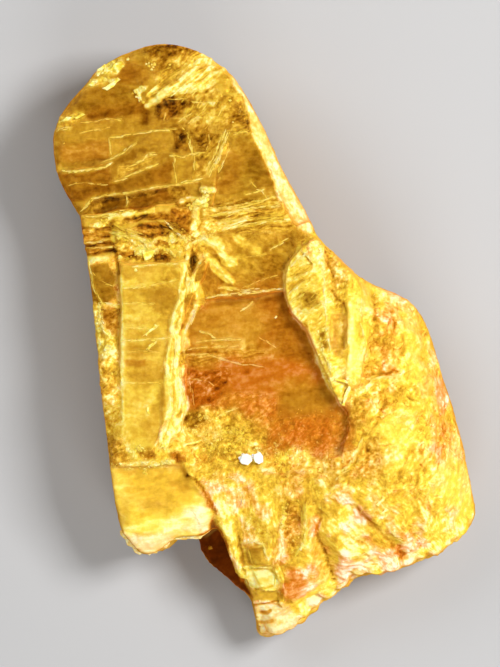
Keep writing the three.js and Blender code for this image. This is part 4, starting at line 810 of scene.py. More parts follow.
def fan_place(plan: np.ndarray) -> np.ndarray:
    """Follows the fan's fibres back to the line they spring from.

    Args:
        plan: Places in plan, an N by 2 array.

    Returns:
        How far along that line, in +X, each place's own fibre starts.
    """
    start = plan[:, 0].copy()
    for _ in range(5):
        start = plan[:, 0] - np.interp(start, FAN_STARTS, FAN_LEANS) * (FAN_ROOT - plan[:, 1])
    return start


@dataclass
class Stone:
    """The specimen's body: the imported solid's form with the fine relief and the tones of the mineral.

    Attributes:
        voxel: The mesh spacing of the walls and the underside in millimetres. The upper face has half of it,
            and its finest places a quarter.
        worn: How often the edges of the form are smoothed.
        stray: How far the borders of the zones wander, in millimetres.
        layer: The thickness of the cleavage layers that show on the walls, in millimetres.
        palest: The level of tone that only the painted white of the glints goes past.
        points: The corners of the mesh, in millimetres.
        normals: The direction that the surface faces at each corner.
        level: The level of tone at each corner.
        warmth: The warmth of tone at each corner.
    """

    voxel: float = 0.36
    worn: int = 5
    stray: float = 0.34
    layer: float = 0.4
    palest: float = 0.97
    points: np.ndarray = field(init=False)
    normals: np.ndarray = field(init=False)
    level: np.ndarray = field(init=False)
    warmth: np.ndarray = field(init=False)

    def refined(self) -> bpy.types.Mesh:
        """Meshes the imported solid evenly, with a finer upper face, on its own surface.

        Returns:
            The new mesh, in metres.
        """
        solid = bmesh.new()
        solid.from_mesh(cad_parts[NODE].data)
        bmesh.ops.remove_doubles(solid, verts=solid.verts, dist=0.001 * MM)
        surface = BVHTree.FromBMesh(solid)
        mesh = bpy.data.meshes.new("stone_form")
        solid.to_mesh(mesh)
        solid.free()
        holder = placed("stone_form", mesh)
        remesh = holder.modifiers.new("even", "REMESH")
        remesh.mode = "VOXEL"
        remesh.voxel_size = self.voxel * MM
        even = bpy.data.meshes.new_from_object(holder.evaluated_get(bpy.context.evaluated_depsgraph_get()))
        bpy.data.objects.remove(holder)
        fine = bmesh.new()
        fine.from_mesh(even)
        bpy.data.meshes.remove(even)
        fine.normal_update()
        self.split(fine, [f for f in fine.faces if f.normal.z > 0.3 and f.calc_center_median().z > 3 * MM])
        upper = [f for f in fine.faces if f.normal.z > 0.2 and f.calc_center_median().z > 3 * MM]
        plan = np.array([f.calc_center_median()[:2] for f in upper]) / MM
        wanted = np.max([inside_distance(plan, outline) for outline in FINE], axis=0) > 0
        self.split(fine, [face for face, chosen in zip(upper, wanted) if chosen])
        for vertex in fine.verts:
            vertex.co = surface.find_nearest(vertex.co)[0]
        fine.normal_update()
        hem = -22.4 * MM  # the hem's knobs stay crisp: it runs up from here at about one in two
        upper = [v for v in fine.verts if v.co.z > 2.5 * MM and v.co.y > hem + 0.49 * v.co.x]
        for _ in range(self.worn):
            bmesh.ops.smooth_vert(
                fine, verts=upper, factor=0.5, use_axis_x=True, use_axis_y=True, use_axis_z=True
            )
        mesh = bpy.data.meshes.new("stone")
        fine.to_mesh(mesh)
        fine.free()
        return mesh

    @staticmethod
    def split(form: bmesh.types.BMesh, faces: list[bmesh.types.BMFace]) -> None:
        """Splits faces of a form in four.

        Args:
            form: The form.
            faces: Those of its faces that are split.
        """
        edges = list({edge for face in faces for edge in face.edges})
        bmesh.ops.subdivide_edges(form, edges=edges, cuts=1, use_grid_fill=True)
        bmesh.ops.triangulate(form, faces=[f for f in form.faces if len(f.verts) > 4])
        form.normal_update()

    def read(self, mesh: bpy.types.Mesh) -> None:
        """Takes the points and normals of a mesh, in millimetres.

        Args:
            mesh: The mesh, in metres.
        """
        count = len(mesh.vertices)
        points, normals = np.zeros(count * 3, np.float32), np.zeros(count * 3, np.float32)
        mesh.vertices.foreach_get("co", points)
        mesh.vertex_normals.foreach_get("vector", normals)
        self.points = points.reshape(-1, 3).astype(float) / MM
        self.normals = normals.reshape(-1, 3).astype(float)

    def zoned(self, plan: np.ndarray) -> dict[str, np.ndarray]:
        """Reads the zones at places in plan.

        Args:
            plan: Places in plan, an N by 2 array, with their borders already made ragged.

        Returns:
            The level and warmth of the tone, the habit's numbers and the fleck coordinates of each place.
        """
        count = len(plan)
        names = ("level", "warmth", "clear", "facet", "mottle", "relief", "blush", "crazed")
        result = {name: np.full(count, value) for name, value in zip(names, self.numbers(MASS_TONE, GRAIN))}
        result["fleck"] = self.flecks(plan, GRAIN)
        flat = np.concatenate([plan, np.zeros((count, 1))], axis=1)
        fray = noise(flat, 1.5, 13, 4)
        for zone in ZONES:
            low, high = np.min(zone.outline, axis=0) - zone.soft, np.max(zone.outline, axis=0) + zone.soft
            near = np.nonzero(np.all((plan > low) & (plan < high), axis=1))[0]
            if not len(near):
                continue
            distance = inside_distance(plan[near], zone.outline) + 0.45 * zone.soft * fray[near]
            share = ramp(distance, -zone.soft / 2, zone.soft / 2)
            for name, value in zip(names, self.numbers(zone.tone, zone.habit)):
                result[name][near] += share * (value - result[name][near])
            taken = near[share > 0.5]
            result["fleck"][taken] = self.flecks(plan[taken], zone.habit)
        return result

    @staticmethod
    def numbers(tone: Tone, habit: Habit) -> tuple[float, ...]:
        """The level and warmth of a tone, and a habit's numbers in the order of their names."""
        return *tone.value, habit.clear, habit.facet, habit.mottle, habit.relief, habit.blush, habit.crazed

    @staticmethod
    def flecks(plan: np.ndarray, habit: Habit) -> np.ndarray:
        """Finds coordinates in which a habit's flecks are one unit long and one unit wide.

        Args:
            plan: Places in plan, an N by 2 array.
            habit: The habit.

        Returns:
            The coordinates along and across the flecks, an N by 2 array.
        """
        if habit.angle == FAN:
            return np.stack([-plan[:, 1] / habit.length, fan_place(plan) / habit.width], axis=1)
        turn = math.radians(habit.angle)
        along = plan[:, 0] * math.cos(turn) + plan[:, 1] * math.sin(turn)
        across = plan[:, 1] * math.cos(turn) - plan[:, 0] * math.sin(turn)
        return np.stack([along / habit.length, across / habit.width], axis=1)

    def build(self) -> bpy.types.Object:
        """Builds the body with its relief and its tones.

        Returns:
            The body's object.
        """
        mesh = self.refined()
        self.read(mesh)
        points, plan = self.points, self.points[:, :2]
        level_face = np.maximum(ramp(self.normals[:, 2], 0.15, 0.5), ramp(points[:, 2], 7.0, 8.5))
        wall = 1 - level_face * ramp(points[:, 2], 1.2, 2.4)
        upward = 1 - wall
        steep = 1 - ramp(self.normals[:, 2], 0.35, 0.75)
        warp = self.stray * np.stack([noise(points, 1.7, 11, 4), noise(points, 1.7, 12, 4)], axis=1)
        here = self.zoned(plan + warp)
        fleck = np.concatenate([here["fleck"], points[:, 2:] * 2], axis=1)
        fleck = np.where(wall[:, None] > 0.5, points * (0.5, 0.5, 3.0), fleck)  # the walls show level layers
        marks = noise(fleck, 1.0, 21, 3)
        clouds = noise(points, 3.2, 22, 3)
        patches = 2 * ramp(noise(points, 1.3, 26, 3), -0.4, 0.4) - 1
        broken = facets(points, 0.55, 61)
        layers = noise(points, (7, 7, self.layer), 31, 3)
        rough = np.clip(here["facet"], 0, 1)
        swing = 0.6 * marks + 0.4 * clouds + 0.4 * patches + 0.5 * rough * broken
        level = here["level"] + here["mottle"] * swing
        relief = here["relief"] * (marks + 0.5 * patches) + 0.05 * here["facet"] * broken
        warmth = here["warmth"] + here["blush"] * (0.6 * patches + 0.5 * noise(fleck, 1.3, 27, 3))
        for line in LINES:
            self.draw(line, plan, level, relief)
        below = 0.8 * WALL_TONE.value[0] + 0.2 * here["level"] + 0.03  # partly the tone of the face above
        level = upward * level + wall * (below + 0.12 * layers + 0.06 * clouds)
        relief = upward * relief + wall * (0.14 * layers + 0.03 * broken)
        relief *= ramp(points[:, 2], 0.05, 0.6)  # the underside stays flat
        points += self.normals * relief[:, None]
        mesh.vertices.foreach_set("co", (points * MM).astype(np.float32).ravel())
        self.level = np.minimum(level, self.palest)
        self.warmth = upward * warmth + wall * WALL_TONE.value[1]
        store(mesh, "level", self.level)
        store(mesh, "warmth", self.warmth)
        store(mesh, "clear", here["clear"] * upward * (1 - steep) - 1.2 * steep)
        store(mesh, "facet", here["facet"] * (0.3 + 0.7 * upward))
        store(mesh, "mottle", here["mottle"] * upward + 0.1 * wall)
        store(mesh, "crazed", here["crazed"] * upward)
        store(mesh, "fleck", fleck)
        mesh.polygons.foreach_set("use_smooth", [True] * len(mesh.polygons))
        mesh.update()
        return placed("stone", mesh)

    @staticmethod
    def draw(line: Line, plan: np.ndarray, level: np.ndarray, relief: np.ndarray) -> None:
        """Draws a line into the tone and the relief of the places near it.

        Args:
            line: The line.
            plan: Places in plan, an N by 2 array.
            level: The level of tone at each place, which it changes.
            relief: The height at each place, which it changes.
        """
        low, high = np.min(line.path, axis=0) - line.width - 0.3, np.max(line.path, axis=0) + line.width + 0.3
        near = np.nonzero(np.all((plan > low) & (plan < high), axis=1))[0]
        if not len(near):
            return
        spot = plan[near]
        flat = np.concatenate([spot, np.zeros((len(spot), 1))], axis=1)
        sway = 0.07 * np.stack([noise(flat, 0.8, 71, 3), noise(flat, 0.8, 72, 3)], axis=1)
        distance = line_distance(spot + sway, line.path)
        width = line.width * (1 + 0.5 * noise(flat, 0.9, 74, 2))
        share = 1 - ramp(distance, 0.28 * width, 0.58 * width + 0.05)
        share *= 1 - line.broken * ramp(noise(flat, 0.7, 73, 2), -0.4, 0.5)
        fill, top = (0.9, 0.96) if line.width > NARROW else (0.5, 0.92)  # splinters brighten the narrow ones
        # Where the line is the edge of a cleavage step, this paleness is partly painted highlight.
        pale = fill * (1 - line.depth) * np.maximum(0.0, top - level[near])
        level[near] += share * (pale if line.depth < 1 else -0.26 * (line.depth - 1))
        relief[near] = relief[near] * (1 - 0.6 * share) + 0.8 * share * line.lift


def store(mesh: bpy.types.Mesh, name: str, values: np.ndarray) -> None:
    """Keeps a number, a vector or a colour for each point of a mesh, under a name that a material reads.

    Args:
        mesh: The mesh.
        name: The name.
        values: One row for each point: a number, three numbers or four.
    """
    kind, field_name = {1: ("FLOAT", "value"), 3: ("FLOAT_VECTOR", "vector"), 4: ("FLOAT_COLOR", "color")}[
        1 if values.ndim == 1 else values.shape[1]
    ]
    attribute = mesh.attributes.new(name, kind, "POINT")
    attribute.data.foreach_set(field_name, values.astype(np.float32).ravel())


# ---- Finishes ----


def add_node(
    tree: bpy.types.NodeTree, kind: str, settings: dict | None = None, links: dict | None = None
) -> bpy.types.Node:
    """Adds a node to a tree.

    Args:
        tree: The node tree.
        kind: The node's type name.
        settings: Attribute names, or input names or numbers, and their values.
        links: Input names or numbers, and the sockets that feed them.

    Returns:
        The new node.
    """
    node = tree.nodes.new(kind)
    for key, value in (settings or {}).items():
        if isinstance(key, int) or key in node.inputs:
            node.inputs[key].default_value = value
        else:
            setattr(node, key, value)
    for key, socket in (links or {}).items():
        tree.links.new(socket, node.inputs[key])
    return node


def maths(
    tree: bpy.types.NodeTree, operation: str, *terms: float | bpy.types.NodeSocket, clamp: bool = False
) -> bpy.types.NodeSocket:
    """Adds a node that does a sum.

    Args:
        tree: The node tree.
        operation: The name of the sum.
        terms: The numbers and sockets that it takes, in order.
        clamp: Whether the result is kept between 0 and 1.

    Returns:
        The socket that gives the result.
    """
    numbers = {i: term for i, term in enumerate(terms) if isinstance(term, float)}
    links = {i: term for i, term in enumerate(terms) if i not in numbers}
    settings = {"operation": operation, "use_clamp": clamp, **numbers}
    return add_node(tree, "ShaderNodeMath", settings, links).outputs[0]


def mapped(
    tree: bpy.types.NodeTree, value: bpy.types.NodeSocket, reach: Point, result: Point, clamp: bool = True
) -> bpy.types.NodeSocket:
    """Adds a node that carries one range of numbers over to another.

    Args:
        tree: The node tree.
        value: The socket that gives the number.
        reach: The two ends of the range it comes from.
        result: What they turn into.
        clamp: Whether numbers outside the range stop at its ends.

    Returns:
        The socket that gives the result.
    """
    settings = {1: reach[0], 2: reach[1], 3: result[0], 4: result[1], "clamp": clamp}
    return add_node(tree, "ShaderNodeMapRange", settings, {0: value}).outputs[0]


@dataclass(frozen=True)
class OrpimentFinish:
    """Orpiment as it is cleaved and broken.

    The mineral is soft and splits into sheets: its cleavage has a resinous to pearly gloss and lets light
    deep in, where it turns amber. Fractured places scatter it near the surface and look lemon to cream.

    Attributes:
        name: The material's name.
        ior: Its index of refraction, kept under the mineral's own so that its gloss stays soft.
        glossy: The roughness where it is glassy.
        satin: The roughness where it is fractured.
        see_through: How much light passes through where it is glassy.
    """

    name: str = "orpiment_cleaved"
    ior: float = 1.5
    glossy: float = 0.14
    satin: float = 0.42
    see_through: float = 0.3

    def build(self) -> bpy.types.Material:
        """Builds the material.

        Returns:
            The material.
        """
        material = bpy.data.materials.new(self.name)
        material.use_nodes = True
        tree = material.node_tree
        tree.nodes.clear()
        out = add_node(tree, "ShaderNodeOutputMaterial")
        place = add_node(tree, "ShaderNodeTexCoord").outputs["Object"]
        names = ("level", "warmth", "clear", "facet", "mottle", "crazed")
        level, warmth, clear, facet, mottle, crazed = (
            add_node(tree, "ShaderNodeAttribute", {"attribute_name": name}).outputs["Fac"] for name in names
        )
        fleck = add_node(tree, "ShaderNodeAttribute", {"attribute_name": "fleck"}).outputs["Vector"]

        # The tone varies with each habit's flecks and with grains of 0.4 mm. Each crystal face of 0.43 mm is
        # also
        # lighter or darker on its own: partly its own tone, partly a painted glint. The real grains and faces
        # are often finer, and are drawn coarser here so that they still show.
        fine = {"Detail": 2.5, "Roughness": 0.55}
        streaks = add_node(tree, "ShaderNodeTexNoise", {"Scale": 1.6, **fine}, {"Vector": fleck}).outputs[0]
        grains = add_node(tree, "ShaderNodeTexNoise", {"Scale": 2500.0, **fine}, {"Vector": place}).outputs[0]
        cells = add_node(tree, "ShaderNodeTexVoronoi", {"Scale": 2300.0}, {"Vector": place}).outputs["Color"]
        swing = mapped(tree, maths(tree, "ADD", streaks, grains), (0.75, 1.25), (-1.4, 1.4))
        face = add_node(tree, "ShaderNodeSeparateColor", None, {0: cells}).outputs[0]
        glint = maths(tree, "MULTIPLY", maths(tree, "SUBTRACT", face, 0.5), facet)
        more = maths(tree, "MULTIPLY", maths(tree, "MULTIPLY_ADD", glint, 1.3, swing), mottle)
        # Curly cracks 1.6 mm apart, dark orange in the fractured mineral.
        curled = {"Scale": 620.0, "Detail": 4.0, "Roughness": 0.6, "Distortion": 0.6}
        curls = add_node(tree, "ShaderNodeTexNoise", curled, {"Vector": place}).outputs[0]
        away = maths(tree, "ABSOLUTE", maths(tree, "SUBTRACT", curls, 0.5))
        thread = mapped(tree, away, (0.0, 0.05), (1.0, 0.0))
        gaps = mapped(tree, grains, (0.45, 0.58), (0.0, 1.0))
        crack = maths(tree, "MULTIPLY", maths(tree, "MULTIPLY", thread, gaps), crazed)
        marked = maths(tree, "MULTIPLY_ADD", crack, -0.3, level)
        warmed = maths(tree, "MULTIPLY_ADD", crack, 0.5, warmth)
        # Steep faces are painted deeper and warmer: painted shade. Only the glint white is whiter than cream.
        normal = add_node(tree, "ShaderNodeNewGeometry").outputs["Normal"]
        up = add_node(tree, "ShaderNodeSeparateXYZ", None, {0: normal}).outputs["Z"]
        steep = mapped(tree, up, (0.3, 0.92), (0.75, 0.0))
        raw = maths(tree, "ADD", more, marked)
        sunk = maths(tree, "MULTIPLY", maths(tree, "SUBTRACT", raw, 0.64, clamp=True), steep)
        capped = maths(tree, "MINIMUM", maths(tree, "SUBTRACT", raw, sunk), 0.98)
        # Painted highlight: the glint white goes past the cap on cream.
        glint_white = maths(tree, "MULTIPLY_ADD", level, 50.0, -49.0)
        shade = maths(tree, "MAXIMUM", capped, glint_white, clamp=True)
        # Painted shade: the warmth that steep faces are given.
        painted_shade_warmth = maths(tree, "MULTIPLY_ADD", steep, 0.45, warmed)
        gold = self.ramp_node(tree, GOLD_RAMP, shade)
        orange = self.ramp_node(tree, ORANGE_RAMP, shade)
        colour = add_node(tree, "ShaderNodeMix", {"data_type": "RGBA"}, {0: painted_shade_warmth, 6: gold, 7: orange})

        # Each crystal face leans its own way, and catches the light on its own.
        tilt = add_node(tree, "ShaderNodeVectorMath", {"operation": "SUBTRACT", 1: (0.5, 0.5, 0.5)},
                        {0: cells})
        push = add_node(tree, "ShaderNodeVectorMath", {"operation": "SCALE"},
                        {0: tilt.outputs[0], "Scale": maths(tree, "MULTIPLY_ADD", facet, 0.7, 0.03)})
        leant = add_node(tree, "ShaderNodeVectorMath", {"operation": "ADD"}, {0: normal, 1: push.outputs[0]})
        # Light that spreads inside brightens the steps that face away from the lamp, as if they leaned up.
        lift = add_node(tree, "ShaderNodeCombineXYZ", None, {2: mapped(tree, up, (0.25, 0.95), (0.9, 0.0))})
        turned = add_node(tree, "ShaderNodeVectorMath", {"operation": "ADD"},
                          {0: leant.outputs[0], 1: lift.outputs[0]})
        unit = add_node(tree, "ShaderNodeVectorMath", {"operation": "NORMALIZE"}, {0: turned.outputs[0]})
        bump = add_node(tree, "ShaderNodeBump", {"Strength": 0.45, "Distance": 0.2 * MM},
                        {"Height": more, "Normal": unit.outputs[0]})

        rough = mapped(tree, clear, (0.0, 1.0), (self.satin, self.glossy), clamp=False)
        see = maths(tree, "MULTIPLY", clear, self.see_through, clamp=True)
        surface = add_node(
            tree,
            "ShaderNodeBsdfPrincipled",
            {
                "IOR": self.ior,
                "Specular Tint": (*linear("#FFCC48"), 1.0),
                "Specular IOR Level": 0.2,
                "Subsurface Weight": 0.35,
                "Subsurface Radius": (1.0, 0.5, 0.05),
                "Subsurface Scale": 1.0 * MM,
            },
            {
                "Base Color": colour.outputs[2],
                "Roughness": rough,
                "Transmission Weight": see,
                "Normal": bump.outputs[0],
            },
        )
        tree.links.new(surface.outputs[0], out.inputs["Surface"])
        return material

    @staticmethod
    def ramp_node(
        tree: bpy.types.NodeTree, stops: tuple[tuple[float, str], ...], level: bpy.types.NodeSocket
    ) -> bpy.types.NodeSocket:
        """Turns a level into a colour.

        Args:
            tree: The node tree.
            stops: Levels from 0 to 1 and their sRGB hex colours.
            level: The socket that gives the level.

        Returns:
            The socket that gives the colour.
        """
        node = add_node(tree, "ShaderNodeValToRGB", None, {0: level})
        for _ in stops[2:]:
            node.color_ramp.elements.new(0.5)
        for element, (position, hex_colour) in zip(node.color_ramp.elements, stops):
            element.position = position
            element.color = (*linear(hex_colour), 1.0)
        return node.outputs[0]


# ---- The small pieces on the stone ----

ANY = -999.0  # marks pieces that lie in any direction
ALONG = -998.0  # marks pieces that lie along their path
PALEST = 0.92  # the level of tone of a small piece that is pale all through


class Shape(Enum):
    """The forms of the small pieces."""

    CRUMB = "crumbs"
    SLIVER = "slivers"


@dataclass(frozen=True)
class Strewn:
    """A group of small pieces, strewn along a path, inside an outline or at single places.

    Attributes:
        count: How many there are.
        length: Their mean length in millimetres.
        pale: How far from the stone's level of tone to a pale one they are, from 0 to 1.
        spread: How far they stray from the path in millimetres, 0 at single places, -1 inside an outline.
        places: The path, the outline or the places.
        slim: Their width as a share of their length.
        angle: The direction they lie in, in degrees, or FAN, ANY or ALONG.
    """

    count: int
    length: float
    pale: float
    spread: float
    places: Path
    slim: float = 0.7
    angle: float = ANY


CRUMBS: tuple[Strewn, ...] = (
    # The lobe: crumbs on its rim, on the flake and on its left shoulder, and the plume's fibres.
    Strewn(30, 0.36, 0.7, 0.3, xy(-14.1, 22.2, -13.3, 22.9, -12, 23.2)),
    Strewn(20, 0.3, 0.6, 0.22, xy(-14.8, 21.4, -13.8, 21.7, -12.4, 21.7)),
    # Pale crumbs where the rim glints: partly painted highlight.
    Strewn(1, 0.5, 0.85, 0, xy(-11.5, 23.5), slim=0.8),
    Strewn(8, 0.26, 0.85, 0.15, xy(-9.8, 23.05, -9.2, 22.9)),
    Strewn(2, 0.24, 0.85, 0, xy(-9.5, 22.6, -8, 23)),
    Strewn(12, 0.36, 0.9, 0.15, xy(-10.9, 20.7, -10.3, 21.1, -9.9, 21.1), slim=0.8),
    Strewn(8, 0.3, 0.9, 0.15, xy(-10.8, 20.4, -10.3, 19.9), slim=0.8),
    Strewn(18, 0.27, 0.6, 0.25, xy(-17.2, 18, -16.6, 18.6, -15.3, 18.9)),
    Strewn(3, 0.28, 0.8, 0, xy(-16.8, 16.45, -3, 20, -2.75, 18.2)),
    # The neck: the knot, the splinters and the fields of crumbs.
    Strewn(18, 0.6, 0.75, 0.35, xy(-6.2, 11.2, -4.8, 11.8)),
    Strewn(12, 0.5, 0.75, 0.3, xy(-5.3, 12.5, -4.5, 12.3)),
    Strewn(28, 0.3, 0.65, 0.3, xy(-6.1, 8.2, -5, 8.8, -4.3, 8.9)),
    Strewn(30, 0.22, 0.7, 0.14, xy(-14.3, 9.6, -13.2, 9.95, -12.6, 10.4, -11.5, 10.7)),
    Strewn(90, 0.26, 0.4, 0.5, xy(-12.3, 8.9, -10.5, 8.2, -8.5, 8.4, -6.8, 8.7)),
    Strewn(60, 0.28, 0.45, 0.35, xy(-11.5, 7.4, -9.5, 7.3, -7, 7.7)),
    Strewn(3, 0.34, 0.95, 0, xy(-7.8, 8.7, -7.7, 8.3, -7, 9), slim=0.8),
    Strewn(4, 0.34, 0.95, 0, xy(-14.7, 5.95, -12.1, 6.95, -12.2, 5.8, -10.8, 5.9)),
    # The margin and the ends of the column.
    Strewn(26, 0.26, 0.6, 0.3, xy(-13.8, 2.5, -13.9, 0.8)),
    Strewn(20, 0.32, 0.7, 0.3, xy(-13.6, -0.2, -12.6, -1.2)),
    Strewn(3, 0.45, 0.85, 0, xy(-13.3, -0.6, -12.8, -2.7, -13.4, -3.2)),
    Strewn(22, 0.26, 0.6, 0.3, xy(-11.4, -9.2, -10.8, -8.8, -9.8, -9.3)),
    Strewn(24, 0.3, 0.9, 0.1, xy(-10.1, -11, -10, -10.5, -8.5, -10.15, -7.9, -10.1)),
    Strewn(34, 0.22, 0.6, 0.3, xy(-12.6, -10.2, -11.4, -10.6, -10.4, -10.3, -8, -10.3)),
    Strewn(4, 0.3, 0.95, 0, xy(-12.1, -10.2, -7.2, -1.1, -7.3, -6.5, -7, -7.5)),
    # The hollow's foot and the granular zone under it.
    Strewn(14, 0.32, 0.5, 0.3, xy(-6.6, -6.7, -5.7, -6.3, -4.3, -6.5)),
    Strewn(120, 0.22, 0.4, 0.8, xy(-6, -7.6, -2, -7.8)),
    Strewn(100, 0.24, 0.5, 0.7, xy(-5.5, -8.8, -1.5, -8.9, 1.5, -9.4)),
    Strewn(60, 0.2, 0.3, 0.9, xy(0, -8.6, 4, -8.8, 7, -8.6)),
    Strewn(70, 0.18, 0.25, -1, xy(-3.4, -5.4, 1, -5.6, 7, -5.6, 7.4, -8.6, -0.8, -8.6)),
    # Crumbs on and about the two white knobs: pale mineral, painted whiter still where they glint, a painted
    # highlight.
    Strewn(16, 0.5, 1.2, 0.36, xy(-1.9, -9.8, -1.35, -9.75), slim=0.8),
    Strewn(13, 0.46, 1.2, 0.3, xy(-0.75, -9.85, -0.35, -9.7), slim=0.8),
    Strewn(3, 0.3, 1, 0, xy(-1.5, -9.2, -0.8, -8.9, -0.5, -10.5), slim=0.8),
    # The shard, the mass and the fan.
    Strewn(6, 0.36, 0.85, 0, xy(0.85, 2, 4.3, 0.8, 4.7, 0.9, 5.4, -1.4, 4.7, 2.3, 8.1, -10.2)),
    Strewn(80, 0.2, 0.2, -1, xy(5.2, 7.2, 9.1, 4.2, 13.2, 0.6, 15, -5, 16.6, -13, 9, -12, 7.6, -4.8)),
    Strewn(120, 0.2, 0.3, -1, xy(-5.6, -9.6, 8.6, -9.6, 12.6, -12, 7.6, -13.4, -2.6, -13)),
    Strewn(6, 0.34, 0.7, 0, xy(1.8, -13.6, 1.6, -14.4, 2.7, -13.3, 4, -13.5, 4.5, -13.9, -4.7, -17.5)),
    Strewn(26, 0.24, 0.5, 0.5, xy(1.6, -13.4, 1.5, -15.4, 2.4, -17)),
)

SLIVERS: tuple[Strewn, ...] = (
    # The lobe: the plume's fibres and other splinters.
    Strewn(40, 1.3, 0.15, -1, xy(-9.6, 20.9, -8.2, 22.8, -6.8, 23.3, -5.9, 24, -4.3, 23.4, -3.7, 22.7,
           -4.6, 21.6, -5.6, 20.7, -7.6, 20.4), slim=0.08, angle=38),
    Strewn(16, 0.9, 0.2, -1, xy(-7.2, 20.4, -4.6, 21.6, -2.6, 21.6, -2.6, 19, -4.4, 17.6, -6.8, 18.6),
           slim=0.1, angle=55),
    Strewn(30, 1, 0.7, 0.2, xy(-3.3, 17.1, -3.9, 15.4, -4.6, 14), slim=0.1, angle=ALONG),
    Strewn(24, 0.8, 0.25, -1, xy(-1.8, 20.6, 0.2, 18, 3.6, 10.6, 3.4, 9.4, 2, 10.4, 0.5, 14.2, -1, 18.2),
           slim=0.15, angle=62),
    # The neck: the knot, the splinters and the fields of crumbs.
    Strewn(26, 1.5, 0.4, -1, xy(-5, 11.4, 0.6, 12, 2.6, 10.1, -3, 9.3, -4.8, 9.6), slim=0.07, angle=9),
    Strewn(36, 1.2, 0.22, 0.4, xy(-12.8, 9.5, -11.6, 9, -10, 8.1), slim=0.09, angle=-30),
    Strewn(16, 1.2, 0.22, 0.3, xy(-8.1, 9.8, -6.4, 8.5), slim=0.09, angle=-30),
    # The torn sheets between the column and the hollow.
    Strewn(30, 1.3, 0.3, 0.42, xy(-6.4, 6.8, -6.6, 4.8, -6.9, 3, -7.4, 1.2, -7.7, -1, -7.8, -3, -7.7, -5.6,
           -8.2, -7.4, -8.6, -8.6), slim=0.08, angle=ALONG),
    Strewn(16, 1.1, 0.4, 0.12, xy(-5.7, 4, -5.75, 3.1, -6.3, 1.5, -6.9, 0.4, -6.9, -1, -7.2, -2, -6.9, -4.8,
           -6.8, -6.8), slim=0.08, angle=ALONG),
    # The shard, the mass and the fan.
    Strewn(26, 0.8, 0.2, -1, xy(2.4, 7, 1.8, 4.8, 4.4, -0.6, 5.4, -1, 5, 3, 4.2, 7.2), slim=0.12, angle=28),
    Strewn(50, 0.5, 0.12, -1, xy(4.2, 8.4, 9.1, 4.2, 13.2, 0.6, 15, -5, 17, -14, 9, -12.4, 7.2, -4.8, 6.6, -3,
           6.6, 5.6), slim=0.22, angle=62),
    Strewn(50, 0.6, 0.2, -1, xy(-5.6, -9.6, 8.6, -9.6, 12.6, -12, 7.6, -13.4, -2.6, -13),
           slim=0.18, angle=50),
    Strewn(24, 1.3, 0.1, -1, xy(-4.2, -12.2, 8, -12.4, 15.6, -12.6, 15.8, -16.2, 9, -18.9, 6.6, -20,
           2.4, -23.4, 1, -20, -1.6, -18.6), slim=0.1, angle=FAN),
)


@dataclass(frozen=True)
class Flake:
    """A thin plate of the mineral that lies on the stone.

    Attributes:
        tone: Its tone.
        thick: Its thickness in millimetres.
        lean: Its slope along X and Y.
        outline: Its outline in plan, in millimetres.
    """

    tone: Tone
    thick: float
    lean: Point
    outline: Path


